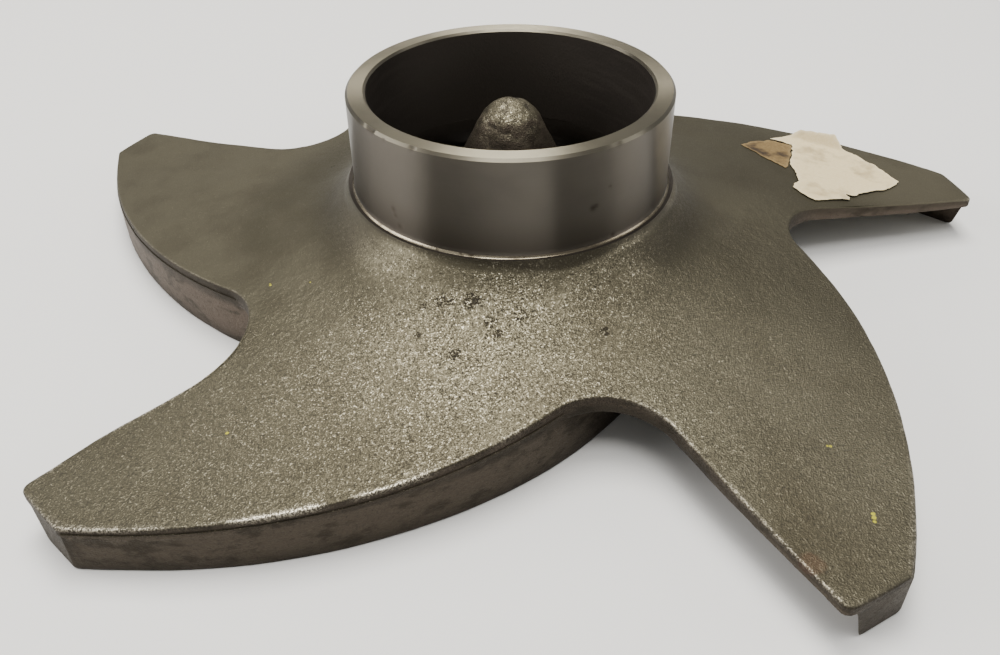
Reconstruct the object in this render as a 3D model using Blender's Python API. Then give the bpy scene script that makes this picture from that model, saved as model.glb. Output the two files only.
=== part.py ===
"""Reverse vane pump impeller: one five-armed casting, with a torn paper label on one arm.

The impeller lies with its suction neck up. +Z is the shaft axis, out of the neck, and +X runs through the middle of the
tip of the labelled arm. The origin is the centre of the flat end of the blind shaft bore. Heights are first stated
above the plane of the vanes' back edges, on which the casting rests, and `level` turns them into Z.
"""
import math

import bmesh
import bpy

MM = 0.001

ARMS = 5
PITCH = 2 * math.pi / ARMS

# Star plate
TIP_RADIUS = 165.1 * MM
TIP_LAND = math.radians(6.6)
TIP_TOP = 14.3 * MM
CROWN_SLOPE = 0.037
CROWN_CURVE = 0.69
PLATE_AT_TIP = 2.8 * MM
PLATE_AT_VALLEY = 5.2 * MM
VALLEY_RADIUS = 91.0 * MM
VALLEY_ARC = 20.0 * MM
CONCAVE_INNER_RADIUS = 104.0 * MM
CONCAVE_INNER_LEAD = math.radians(3.0)
CORNER_ROUND = 2.5 * MM
EDGE_ROUND = 0.9 * MM

# Hollow in the straight edge of one arm: the radii at which it starts, is deepest and ends, and how far round the
# plate gives way to it
HOLLOW_ARM = 3
HOLLOW_DEPTH = 3.0 * MM
HOLLOW_START = 94.0 * MM
HOLLOW_DEEPEST = 114.0 * MM
HOLLOW_END = 147.0 * MM
HOLLOW_FULL = math.radians(-4.0)
HOLLOW_NONE = math.radians(20.0)

# Suction neck
NECK_RADIUS = 49.7 * MM
EYE_RADIUS = 43.7 * MM
RIM_HEIGHT = 68.5 * MM
RIM_CHAMFER_OUTER = 1.0 * MM
RIM_CHAMFER_INNER = 0.7 * MM
FOOT_RADIUS = 51.7 * MM
FOOT_HEIGHT = 37.7 * MM
FOOT_FILLET = 2.0 * MM
SKIRT_RISE = 10.9 * MM
SKIRT_REACH = 6.0 * MM
THROAT_TOP = 37.0 * MM
THROAT_RADIUS = 61.0 * MM
THROAT_STEPS = 3
SKIRT_RADII = (54.0 * MM, 58.0 * MM)
FAN_RADIUS = 65.0 * MM
FAN_FOLLOW = 0.8

# Vanes
VANE_OUTLET_ANGLE = math.radians(35.0)
VANE_INLET_ANGLE = math.radians(25.0)
VANE_STEADY_RADIUS = 115.0 * MM
VANE_EYE_RADIUS = 50.0 * MM
VANE_THICKNESS = 7.3 * MM
VANE_PROUD = 0.35 * MM
VANE_ROOT_FILLET = 2.5 * MM
VANE_BURIED = 0.3 * MM
VANE_BACK_ROUND = 0.8 * MM
VANE_TIP_GAP = 0.2 * MM
VANE_ROOT_RADIUS = 24.0 * MM
VANE_ROOT_TOP = 21.0 * MM
VANE_TIP_ROUND = 0.9 * MM
VANE_INNER_STATIONS = 13

# Near its tip each vane's inner wall leans towards the plate's corner, and its fillet shrinks to stay inside it
BRACE_START = 145.0 * MM
BRACE_LEAN = 1.7 * MM
BRACE_FILLET = 1.2 * MM

# Hub, nose and shaft bore
NOSE_TOP = 63.0 * MM
NOSE_BALL = 10.0 * MM
NOSE_FLANK = math.radians(26.0)
HUB_NECK_RADIUS = 27.0 * MM
HUB_RADIUS = 31.0 * MM
HUB_SHOULDER = 12.0 * MM
BORE_RADIUS = 12.5 * MM
BORE_CHAMFER = 1.5 * MM
BORE_DEPTH = 38.0 * MM
HUB_SIDES = 45
BORE_SIDES = 32

# Label
PAPER = 0.4 * MM
PAPER_GAP = 0.3 * MM
PAPER_GRID = 8.0 * MM
LABEL_OUTLINE = [
    (107.8, 18.7), (107.4, 10.0), (101.8, 3.2), (105.9, -6.0), (118.0, -5.4), (125.1, -1.3),
    (138.4, 0.9), (143.9, 4.9), (141.5, 20.0), (138.9, 31.0), (128.5, 41.0), (117.2, 42.5),
]
KRAFT_OUTLINE = [(97.0, 39.2), (107.3, 19.4), (116.6, 42.3), (109.0, 43.3)]

# Points of each stretch of the star's outline, and of the plate between the neck and that outline
CONVEX_POINTS = 10
CONCAVE_POINTS = 6
VALLEY_POINTS = 6
CORNER_POINTS = 3
PLATE_RINGS = (0.22, 0.46, 0.7, 0.88)
SPIRAL_STEPS = 400

CAST_STEEL = (0.155, 0.135, 0.105)
CREAM_PAPER = (0.62, 0.57, 0.45)
BROWN_PAPER = (0.36, 0.26, 0.15)


def level(height):
    """Z of a height above the plane of the vanes' back edges."""
    return height - BORE_DEPTH


def polar(radius, angle):
    return radius * math.cos(angle), radius * math.sin(angle)


def smoothstep(value):
    value = min(max(value, 0.0), 1.0)
    return value * value * (3 - 2 * value)


def plate_top(radius):
    """Height of the star's crowned upper face, which sweeps up to the turned foot of the neck."""
    inward = TIP_RADIUS - radius
    skirt = SKIRT_RISE * math.exp(-max(radius - FOOT_RADIUS, 0.0) / SKIRT_REACH)
    return TIP_TOP + CROWN_SLOPE * inward + CROWN_CURVE * inward * inward + skirt


def plate_thickness(radius):
    share = (TIP_RADIUS - radius) / (TIP_RADIUS - VALLEY_RADIUS)
    return PLATE_AT_TIP + (PLATE_AT_VALLEY - PLATE_AT_TIP) * min(share, 1.3)


def plate_bottom(radius):
    inward = TIP_RADIUS - radius
    crown = TIP_TOP + CROWN_SLOPE * inward + CROWN_CURVE * inward * inward
    return crown - plate_thickness(radius)


def vane_angle(radius):
    """Angle between the vane and the circle it crosses, steady outside and flatter towards the eye."""
    share = smoothstep((radius - VANE_EYE_RADIUS) / (VANE_STEADY_RADIUS - VANE_EYE_RADIUS))
    return VANE_INLET_ANGLE + (VANE_OUTLET_ANGLE - VANE_INLET_ANGLE) * share


def spiral_table():
    """Radius and turn from the tip corner, along the spiral on which each vane's convex wall lies."""
    table = [(TIP_RADIUS, 0.0)]
    step = (TIP_RADIUS - VANE_ROOT_RADIUS) / SPIRAL_STEPS
    for _ in range(SPIRAL_STEPS):
        radius, turn = table[-1]
        middle = radius - step / 2
        table.append((radius - step, turn + step / (middle * math.tan(vane_angle(middle)))))
    return table


SPIRAL = spiral_table()


def spiral_turn(radius):
    """Turn of the vane's convex wall, measured counter-clockwise from the tip corner, at a radius."""
    place = (TIP_RADIUS - radius) / (TIP_RADIUS - VANE_ROOT_RADIUS) * SPIRAL_STEPS
    index = min(max(int(place), 0), SPIRAL_STEPS - 1)
    share = place - index
    return SPIRAL[index][1] * (1 - share) + SPIRAL[index + 1][1] * share


def point_line_distance(point, start, direction):
    return (point[0] - start[0]) * direction[1] - (point[1] - start[1]) * direction[0]


def arc_between(center, radius, start, end, count):
    """Points on an arc, both ends included, along the shorter way round."""
    first = math.atan2(start[1] - center[1], start[0] - center[0])
    turn = math.atan2(end[1] - center[1], end[0] - center[0]) - first
    turn = (turn + math.pi) % (2 * math.pi) - math.pi
    angles = (first + turn * i / (count - 1) for i in range(count))
    return [(center[0] + radius * math.cos(a), center[1] + radius * math.sin(a)) for a in angles]


def rounded_corner(before, corner, after, radius, count):
    """Arc of the given radius that takes a corner's place, between the directions of its neighbours."""
    ways = []
    for other in (before, after):
        length = math.hypot(other[0] - corner[0], other[1] - corner[1])
        ways.append(((other[0] - corner[0]) / length, (other[1] - corner[1]) / length))
    half = math.acos(ways[0][0] * ways[1][0] + ways[0][1] * ways[1][1]) / 2
    setback = radius / math.tan(half)
    middle = (ways[0][0] + ways[1][0], ways[0][1] + ways[1][1])
    size = math.hypot(*middle)
    center = tuple(corner[k] + middle[k] / size * radius / math.sin(half) for k in range(2))
    ends = [tuple(corner[k] + way[k] * setback for k in range(2)) for way in ways]
    return arc_between(center, radius, ends[0], ends[1], count)


def valley_center(line_start, direction):
    """Centre of the valley's arc, which touches the spiral of one arm and the straight edge of the next.

    The search walks in along the spiral, steps off it by the arc's radius, away from the arm, and stops where the
    straight edge is as far away as the spiral.
    """
    for radius, turn in SPIRAL:
        tangent = turn + math.pi / 2 + vane_angle(radius)
        normal = tangent - math.pi / 2
        foot = polar(radius, turn)
        center = (foot[0] + VALLEY_ARC * math.cos(normal), foot[1] + VALLEY_ARC * math.sin(normal))
        if abs(point_line_distance(center, line_start, direction)) <= VALLEY_ARC:
            return center, radius
    raise ValueError("the valley's arc meets no edge")


def straight_edge():
    """Outer corner and inward direction of the next arm's straight edge, turned back to the first arm's corner."""
    corner = polar(TIP_RADIUS, PITCH - TIP_LAND)
    inner = polar(CONCAVE_INNER_RADIUS, PITCH - TIP_LAND - CONCAVE_INNER_LEAD)
    length = math.hypot(inner[0] - corner[0], inner[1] - corner[1])
    return corner, ((inner[0] - corner[0]) / length, (inner[1] - corner[1]) / length)


VALLEY_CENTER, VALLEY_TOUCH_RADIUS = valley_center(*straight_edge())


def pitch_outline():
    """One fifth of the star's outline, counter-clockwise, from the middle of the tip on +X to the next tip.

    It runs round the tip's corner, in along the convex edge, round the valley and out along the straight edge of
    the next arm. The first point is the middle of the tip, and the last is one short of the next arm's first.
    """
    half_land = TIP_LAND / 2
    convex_corner = polar(TIP_RADIUS, 0.0)
    next_corner, direction = straight_edge()
    center = VALLEY_CENTER
    touch_radius = VALLEY_TOUCH_RADIUS
    along = (center[0] - next_corner[0]) * direction[0] + (center[1] - next_corner[1]) * direction[1]
    straight_end = tuple(next_corner[k] + direction[k] * along for k in range(2))
    touch = polar(touch_radius, spiral_turn(touch_radius))

    points = [polar(TIP_RADIUS, -half_land)]
    second = TIP_RADIUS - (TIP_RADIUS - touch_radius) / CONVEX_POINTS
    points += rounded_corner(polar(TIP_RADIUS, -half_land), convex_corner, polar(second, spiral_turn(second)),
                             CORNER_ROUND, CORNER_POINTS)
    for i in range(1, CONVEX_POINTS):
        radius = TIP_RADIUS - (TIP_RADIUS - touch_radius) * i / CONVEX_POINTS
        points.append(polar(radius, spiral_turn(radius)))
    points += arc_between(center, VALLEY_ARC, touch, straight_end, VALLEY_POINTS)
    for i in range(1, CONCAVE_POINTS):
        share = 1 - i / CONCAVE_POINTS
        points.append(tuple(next_corner[k] + (straight_end[k] - next_corner[k]) * share for k in range(2)))
    points += rounded_corner(points[-1], next_corner, polar(TIP_RADIUS, PITCH - half_land), CORNER_ROUND,
                             CORNER_POINTS)
    return [polar(math.hypot(x, y), math.atan2(y, x) + half_land) for x, y in points]


def star_outline():
    """The whole outline of the star, counter-clockwise, with arm 0 on +X, before the hollow."""
    points = []
    for arm in range(ARMS):
        for x, y in pitch_outline():
            points.append(polar(math.hypot(x, y), math.atan2(y, x) + arm * PITCH))
    return points


def hollowed(x, y):
    """Where a point of the plate comes to lie once the one arm's straight edge has its hollow."""
    radius = math.hypot(x, y)
    angle = math.atan2(y, x)
    past = (angle - HOLLOW_ARM * PITCH + math.pi) % (2 * math.pi) - math.pi
    if past < -PITCH / 4:
        return x, y
    deepening = smoothstep((radius - HOLLOW_START) / (HOLLOW_DEEPEST - HOLLOW_START))
    running_out = smoothstep((HOLLOW_END - radius) / (HOLLOW_END - HOLLOW_DEEPEST))
    nearness = smoothstep((HOLLOW_NONE - past) / (HOLLOW_NONE - HOLLOW_FULL))
    return polar(radius, angle + HOLLOW_DEPTH * deepening * running_out * nearness / radius)


def neck_section():
    """Turned section, radius and height, from the throat inside, over the rim and down to the foot's skirt."""
    throat_bottom = plate_bottom(THROAT_RADIUS)
    section = []
    for i in range(THROAT_STEPS + 1):
        angle = math.pi / 2 * (1 - i / THROAT_STEPS)
        radius = THROAT_RADIUS - (THROAT_RADIUS - EYE_RADIUS) * math.cos(angle)
        section.append((radius, THROAT_TOP - (THROAT_TOP - throat_bottom) * math.sin(angle)))
    section += [
        (EYE_RADIUS, RIM_HEIGHT - RIM_CHAMFER_INNER),
        (EYE_RADIUS + RIM_CHAMFER_INNER, RIM_HEIGHT),
        (NECK_RADIUS - RIM_CHAMFER_OUTER, RIM_HEIGHT),
        (NECK_RADIUS, RIM_HEIGHT - RIM_CHAMFER_OUTER),
        (NECK_RADIUS, FOOT_HEIGHT + FOOT_FILLET),
        (NECK_RADIUS + 0.3 * FOOT_FILLET, FOOT_HEIGHT + 0.3 * FOOT_FILLET),
        (FOOT_RADIUS, FOOT_HEIGHT),
    ]
    section += [(radius, plate_top(radius)) for radius in (*SKIRT_RADII, FAN_RADIUS)]
    return section


def close_grid(mesh, rings):
    """Join closed rings of vertices, the first to the second and so on round to the first again."""
    count = len(rings[0])
    for k, ring in enumerate(rings):
        following = rings[(k + 1) % len(rings)]
        for i in range(count):
            j = (i + 1) % count
            mesh.faces.new((ring[i], following[i], following[j], ring[j]))


def make_object(name, mesh, material=None, sharp=math.radians(35)):
    bmesh.ops.recalc_face_normals(mesh, faces=mesh.faces[:])
    data = bpy.data.meshes.new(name)
    mesh.to_mesh(data)
    mesh.free()
    data.shade_smooth()
    data.set_sharp_from_angle(angle=sharp)
    made = bpy.data.objects.new(name, data)
    bpy.context.scene.collection.objects.link(made)
    if material is not None:
        data.materials.append(material)
    return made


def make_material(name, color, roughness, metallic):
    material = bpy.data.materials.new(name)
    material.use_nodes = True
    shader = material.node_tree.nodes["Principled BSDF"]
    shader.inputs["Base Color"].default_value = (*color, 1.0)
    shader.inputs["Roughness"].default_value = roughness
    shader.inputs["Metallic"].default_value = metallic
    return material


def fan_angles(outline):
    """Angle on the neck's circles of the line that runs out to each point of the outline.

    It lies between even spacing and the point's own angle, near enough to the second that every line stays inside
    the arms' nearly radial straight edges.
    """
    angles = []
    for i, (x, y) in enumerate(outline):
        even = 2 * math.pi * i / len(outline)
        away = (math.atan2(y, x) - even + math.pi) % (2 * math.pi) - math.pi
        angles.append(even + FAN_FOLLOW * away)
    return angles


def inset_outline(outline, inset):
    """The outline moved inwards by a distance, square to the line between each point's neighbours."""
    moved = []
    for i, (x, y) in enumerate(outline):
        before = outline[i - 1]
        after = outline[(i + 1) % len(outline)]
        length = math.hypot(after[0] - before[0], after[1] - before[1])
        moved.append((x - inset * (after[1] - before[1]) / length, y + inset * (after[0] - before[0]) / length))
    return moved


def star_and_neck(material):
    """The plate with its arms and the neck, as one closed skin of rings round the axis."""
    outline = star_outline()
    fan = fan_angles(outline)
    mesh = bmesh.new()

    def turned_ring(radius, height):
        return [mesh.verts.new((*polar(radius, a), level(height))) for a in fan]

    def plate_ring(share, inset, height):
        """Ring at a share of the way from the neck to the outline, where the outline is first moved in."""
        ring = []
        for angle, edge in zip(fan, inset_outline(outline, inset)):
            start = polar(FAN_RADIUS, angle)
            x, y = hollowed(*(start[k] + (edge[k] - start[k]) * share for k in range(2)))
            ring.append(mesh.verts.new((x, y, level(height(math.hypot(x, y))))))
        return ring

    rings = [turned_ring(radius, height) for radius, height in neck_section()]
    rings += [plate_ring(share, EDGE_ROUND, plate_top) for share in PLATE_RINGS]
    rings.append(plate_ring(1.0, EDGE_ROUND, plate_top))
    rings.append(plate_ring(1.0, 0.3 * EDGE_ROUND, lambda r: plate_top(r) - 0.3 * EDGE_ROUND))
    rings.append(plate_ring(1.0, 0.0, lambda r: plate_top(r) - EDGE_ROUND))
    rings.append(plate_ring(1.0, 0.0, lambda r: plate_bottom(r) + 0.5 * EDGE_ROUND))
    rings.append(plate_ring(1.0, 0.5 * EDGE_ROUND, plate_bottom))
    rings += [plate_ring(share, 0.5 * EDGE_ROUND, plate_bottom) for share in reversed(PLATE_RINGS)]
    rings.append(plate_ring(0.0, 0.0, plate_bottom))
    close_grid(mesh, rings)
    return make_object("impeller_casting", mesh, material)


def vane_top(radius):
    """Height of a vane's top: buried in the plate, and falling to the hub inside the eye."""
    if radius >= THROAT_RADIUS:
        return plate_bottom(radius) + 0.45 * plate_thickness(radius)
    outer = plate_bottom(THROAT_RADIUS) + 0.45 * plate_thickness(THROAT_RADIUS)
    share = (radius - VANE_ROOT_RADIUS) / (THROAT_RADIUS - VANE_ROOT_RADIUS)
    return VANE_ROOT_TOP + (outer - VANE_ROOT_TOP) * smoothstep(share)


def vane_stations(touch_radius):
    """Radius and lift of each vane section, from inside the hub to the tip circle.

    Outside the valley the sections share the plate's own points. Inside it they crowd towards the hub, where the
    spiral winds tighter. The lift raises the back edge to round the corner at the tip.
    """
    shrink = (VANE_ROOT_RADIUS / touch_radius) ** (1 / VANE_INNER_STATIONS)
    stations = [(touch_radius * shrink ** i, 0.0) for i in range(VANE_INNER_STATIONS, 0, -1)]
    for i in range(CONVEX_POINTS, 0, -1):
        stations.append((TIP_RADIUS - (TIP_RADIUS - touch_radius) * i / CONVEX_POINTS, 0.0))
    end = TIP_RADIUS - VANE_TIP_GAP
    for angle in (0.0, math.pi / 4, math.pi / 2):
        stations.append((end - VANE_TIP_ROUND * (1 - math.sin(angle)), VANE_TIP_ROUND * (1 - math.cos(angle))))
    return stations


def vane_section(radius, lift):
    """Turn past the convex wall's spiral and height of the points of one vane section.

    The section lies on the circle of that radius. Its convex wall stands plumb and slightly proud of the plate's
    edge, and its other wall flares into the plate's underside.
    """
    slant = radius * math.sin(vane_angle(radius))
    proud = VANE_PROUD / slant
    width = VANE_THICKNESS / slant
    brace = smoothstep((radius - BRACE_START) / (TIP_RADIUS - BRACE_START))
    fillet = VANE_ROOT_FILLET + (BRACE_FILLET - VANE_ROOT_FILLET) * brace
    foot = width + BRACE_LEAN * brace / slant
    flare = fillet / slant
    back_round = VANE_BACK_ROUND / slant
    top = vane_top(radius)
    under = min(plate_bottom(radius) + VANE_BURIED, top)
    return [
        (proud, top), (proud, VANE_BACK_ROUND + lift), (proud - back_round, lift),
        (-width + back_round, lift), (-width, VANE_BACK_ROUND + lift), (-foot, under - fillet),
        (-foot - 0.3 * flare, under - 0.3 * fillet), (-foot - flare, under), (-foot - flare, top),
    ]


def vane(arm):
    """One vane, from inside the hub to the tip circle."""
    mesh = bmesh.new()
    loops = []
    for radius, lift in vane_stations(VALLEY_TOUCH_RADIUS):
        base = arm * PITCH + TIP_LAND / 2 + spiral_turn(radius)
        loops.append([mesh.verts.new((*polar(radius, base + turn), level(height)))
                      for turn, height in vane_section(radius, lift)])
    for first, second in zip(loops, loops[1:]):
        for k, corner in enumerate(first):
            j = (k + 1) % len(first)
            mesh.faces.new((corner, first[j], second[j], second[k]))
    mesh.faces.new(loops[0])
    mesh.faces.new(list(reversed(loops[-1])))
    return make_object(f"vane_blank_{arm}", mesh)


def revolved(name, section, sides):
    """Closed solid of revolution from (radius, height) points that start and end on the axis."""
    mesh = bmesh.new()
    poles = [mesh.verts.new((0.0, 0.0, level(height))) for _, height in (section[0], section[-1])]
    rings = [[mesh.verts.new((*polar(radius, 2 * math.pi * i / sides), level(height))) for i in range(sides)]
             for radius, height in section[1:-1]]
    for i in range(sides):
        j = (i + 1) % sides
        mesh.faces.new((poles[0], rings[0][i], rings[0][j]))
        for upper, lower in zip(rings, rings[1:]):
            mesh.faces.new((upper[i], lower[i], lower[j], upper[j]))
        mesh.faces.new((poles[1], rings[-1][j], rings[-1][i]))
    return make_object(name, mesh)


def hub():
    """Nose and hub: a ball, the nose's sloping flank, and a hub that ends on the vanes' back plane."""
    ball_center = NOSE_TOP - NOSE_BALL
    section = [(0.0, NOSE_TOP)]
    ball_steps = 5
    for i in range(1, ball_steps + 1):
        angle = math.pi / 2 - (math.pi / 2 - NOSE_FLANK) * i / ball_steps
        section.append((NOSE_BALL * math.cos(angle), ball_center + NOSE_BALL * math.sin(angle)))
    touch_radius, touch_height = section[-1]
    flank_height = touch_height - (HUB_NECK_RADIUS - touch_radius) / math.tan(NOSE_FLANK)
    section += [
        (HUB_NECK_RADIUS, flank_height),
        (HUB_RADIUS - 1.0 * MM, HUB_SHOULDER),
        (HUB_RADIUS, 1.0 * MM),
        (HUB_RADIUS - 1.0 * MM, 0.0),
        (0.0, 0.0),
    ]
    return revolved("hub_blank", section, HUB_SIDES)


def bore():
    """Cutter for the blind shaft bore, open at the back."""
    below = -2.0 * MM
    section = [
        (0.0, BORE_DEPTH), (BORE_RADIUS, BORE_DEPTH), (BORE_RADIUS, BORE_CHAMFER),
        (BORE_RADIUS + BORE_CHAMFER, 0.0), (BORE_RADIUS + BORE_CHAMFER, below), (0.0, below),
    ]
    return revolved("bore_cutter", section, BORE_SIDES)


def combine(target, tool, operation):
    """Boolean of a tool with the target, with the tool kept as a hidden guide."""
    step = target.modifiers.new(f"{operation.lower()}_{tool.name}", "BOOLEAN")
    step.operation = operation
    step.solver = "EXACT"
    step.object = tool
    tool.hide_render = True
    tool.display_type = "WIRE"


def paper_sheet(name, outline, material):
    """Thin sheet that follows the crown of the arm on +X, cut to an outline in millimetres."""
    mesh = bmesh.new()
    mesh.faces.new([mesh.verts.new((x * MM, y * MM, 0.0)) for x, y in outline])
    for axis in range(2):
        values = [corner[axis] * MM for corner in outline]
        lines = int((max(values) - min(values)) / PAPER_GRID)
        for i in range(1, lines + 1):
            place = [0.0, 0.0, 0.0]
            place[axis] = min(values) + i * PAPER_GRID
            normal = [0.0, 0.0, 0.0]
            normal[axis] = 1.0
            bmesh.ops.bisect_plane(mesh, geom=mesh.verts[:] + mesh.edges[:] + mesh.faces[:], dist=1e-6,
                                   plane_co=place, plane_no=normal)
    bmesh.ops.triangulate(mesh, faces=mesh.faces[:])
    lower = mesh.faces[:]
    upper = bmesh.ops.extrude_face_region(mesh, geom=lower)
    raised = {corner for corner in upper["geom"] if isinstance(corner, bmesh.types.BMVert)}
    for corner in mesh.verts:
        height = plate_top(math.hypot(corner.co.x, corner.co.y)) + PAPER_GAP
        corner.co.z = level(height + (PAPER if corner in raised else 0.0))
    return make_object(name, mesh, material)


def build():
    for old in list(bpy.data.objects):
        bpy.data.objects.remove(old, do_unlink=True)
    steel = make_material("cast_steel", CAST_STEEL, 0.55, 0.9)
    casting = star_and_neck(steel)
    combine(casting, hub(), "UNION")
    for arm in range(ARMS):
        combine(casting, vane(arm), "UNION")
    combine(casting, bore(), "DIFFERENCE")
    paper_sheet("paper_label", LABEL_OUTLINE, make_material("cream_paper", CREAM_PAPER, 0.9, 0.0))
    paper_sheet("kraft_flap", KRAFT_OUTLINE, make_material("brown_paper", BROWN_PAPER, 0.9, 0.0))


build()
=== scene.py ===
"""Looks of a reverse vane pump impeller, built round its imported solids.

Everything is in metres in the frame of the solids. +Z is the shaft axis, out of the suction neck, and +X runs
through the middle of the tip of the labelled arm. The origin is the centre of the flat end of the blind bore.
Heights are stated above the plane of the vanes' back edges, on which the impeller lies. The near side is the
camera's side, about -Y.

A span is a pair of values between which a smooth step rises from 0 to 1. Its first value may be the larger one.
"""

import logging
import math
from collections.abc import Callable, Sequence
from dataclasses import dataclass, field
from enum import Enum
from typing import Any

import bmesh
import bpy
import numpy as np
from mathutils import Matrix, Vector
from mathutils.bvhtree import BVHTree
from mathutils.geometry import delaunay_2d_cdt
from mathutils.kdtree import KDTree


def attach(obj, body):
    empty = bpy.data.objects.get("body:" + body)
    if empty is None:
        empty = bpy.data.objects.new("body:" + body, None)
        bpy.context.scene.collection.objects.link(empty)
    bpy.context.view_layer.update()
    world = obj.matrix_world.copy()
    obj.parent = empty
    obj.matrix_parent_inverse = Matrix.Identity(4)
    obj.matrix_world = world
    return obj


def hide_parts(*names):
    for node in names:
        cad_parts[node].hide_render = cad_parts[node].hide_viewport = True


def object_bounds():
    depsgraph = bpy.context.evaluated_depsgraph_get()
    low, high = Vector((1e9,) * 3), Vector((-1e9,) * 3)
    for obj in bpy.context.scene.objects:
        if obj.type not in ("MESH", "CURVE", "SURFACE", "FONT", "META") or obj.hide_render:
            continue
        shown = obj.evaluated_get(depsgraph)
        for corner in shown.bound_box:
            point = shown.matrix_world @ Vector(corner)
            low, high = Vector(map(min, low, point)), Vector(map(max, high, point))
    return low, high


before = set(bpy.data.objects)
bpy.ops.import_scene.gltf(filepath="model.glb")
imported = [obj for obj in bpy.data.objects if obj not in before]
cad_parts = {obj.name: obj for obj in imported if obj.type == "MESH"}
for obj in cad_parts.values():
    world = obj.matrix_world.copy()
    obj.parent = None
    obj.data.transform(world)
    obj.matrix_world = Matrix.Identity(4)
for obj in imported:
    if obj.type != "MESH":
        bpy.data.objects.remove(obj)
CAD_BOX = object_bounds()

LOG = logging.getLogger("impeller")
MM = 0.001
BODY = "root"

Colour = tuple[float, float, float]
Stretch = tuple[float, float, float]
Spot = tuple[float, float, float, float]
Patch = tuple[float, float, float]
Layer = tuple[int, float, float]
Point = tuple[float, float]
Span = tuple[float, float]
Hump = tuple[float, float]


class Mask(Enum):
    """Masks that the meshes carry on their points, for the finishes to read."""

    EDGE = "edge"
    CALM = "calm"
    # Lighter faces: partly burnished, partly a painted highlight.
    BURNISH_AND_HIGHLIGHT = "burnished"
    MACHINED = "machined"
    DUSTY = "dusty"
    GREASY = "greasy"
    SKIRT = "skirt"
    PITTED = "pitted"
    # Dirt, and painted shade in the eye, at the neck's foot, under edges, low down and on the tips.
    DIRT_AND_SHADE = "soiled"
    KNOCK = "knock"
    # Rubbed bright stretches of the neck's fillet, with a painted highlight.
    RUB_AND_HIGHLIGHT = "rubbed"
    RIM = "rim"
    # Painted shade on the paper's curled strip.
    CURL = "curl"


class Join(Enum):
    """Ways to combine two solids."""

    UNION = "UNION"
    DIFFERENCE = "DIFFERENCE"


class Slot(Enum):
    """Names of material slots."""

    STEEL = "cast_steel"
    CREAM = "cream_paper"
    BROWN = "brown_paper"


# ---- numbers and noise


def smooth(values: np.ndarray | float, low: float, high: float) -> np.ndarray:
    """Smooth step from 0 at low to 1 at high.

    Args:
        values: Numbers to place between the two limits.
        low: Value at which the step is 0.
        high: Value at which the step is 1. It may be the smaller of the two.

    Returns:
        The step's height for each value.
    """
    share = np.clip((np.asarray(values) - low) / (high - low), 0.0, 1.0)
    return share * share * (3 - 2 * share)


def bell(values: np.ndarray, center: float, width: np.ndarray | float) -> np.ndarray:
    """Hump of height 1 at a centre, which fades over a width to each side."""
    return np.exp(-((values - center) / width) ** 2)


@dataclass(frozen=True)
class Lumps:
    """Smooth noise in space, the same at each run."""

    seed: int
    cells: int = 48

    def table(self) -> np.ndarray:
        """Values at the lattice's corners, from -1 to 1."""
        return np.random.default_rng(self.seed).uniform(-1.0, 1.0, (self.cells,) * 3)

    def at(self, points: np.ndarray, wavelength: float) -> np.ndarray:
        """Noise at places in space.

        Args:
            points: Rows of x, y and z.
            wavelength: Distance between the lattice's corners.

        Returns:
            One value from -1 to 1 for each row.
        """
        table = self.table()
        place = points / wavelength
        corner = np.floor(place).astype(int)
        share = smooth(place - corner, 0.0, 1.0)
        total = np.zeros(len(points))
        for bits in range(8):
            step = np.array([bits & 1, bits >> 1 & 1, bits >> 2 & 1])
            weight = np.prod(np.where(step, share, 1 - share), axis=1)
            index = (corner + step) % self.cells
            total += weight * table[index[:, 0], index[:, 1], index[:, 2]]
        return total


def layered(points: np.ndarray, layers: Sequence[Layer]) -> np.ndarray:
    """Sum of several noises in space.

    Args:
        points: Rows of x, y and z.
        layers: Seed, wavelength and strength of each noise.

    Returns:
        The sum for each row.
    """
    total = np.zeros(len(points))
    for seed, wavelength, strength in layers:
        total += strength * Lumps(seed).at(points, wavelength)
    return total


def patches(points: np.ndarray, places: Sequence[Patch]) -> np.ndarray:
    """Mask of soft round patches, seen from above.

    Args:
        points: Rows of x, y and z.
        places: X, Y and reach of each patch, in millimetres.

    Returns:
        One value from 0 to 1 for each row.
    """
    total = np.zeros(len(points))
    for x, y, reach in places:
        away = np.hypot(points[:, 0] - x * MM, points[:, 1] - y * MM)
        total = np.maximum(total, bell(away, 0.0, reach * MM))
    return total


# ---- shader graph


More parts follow.
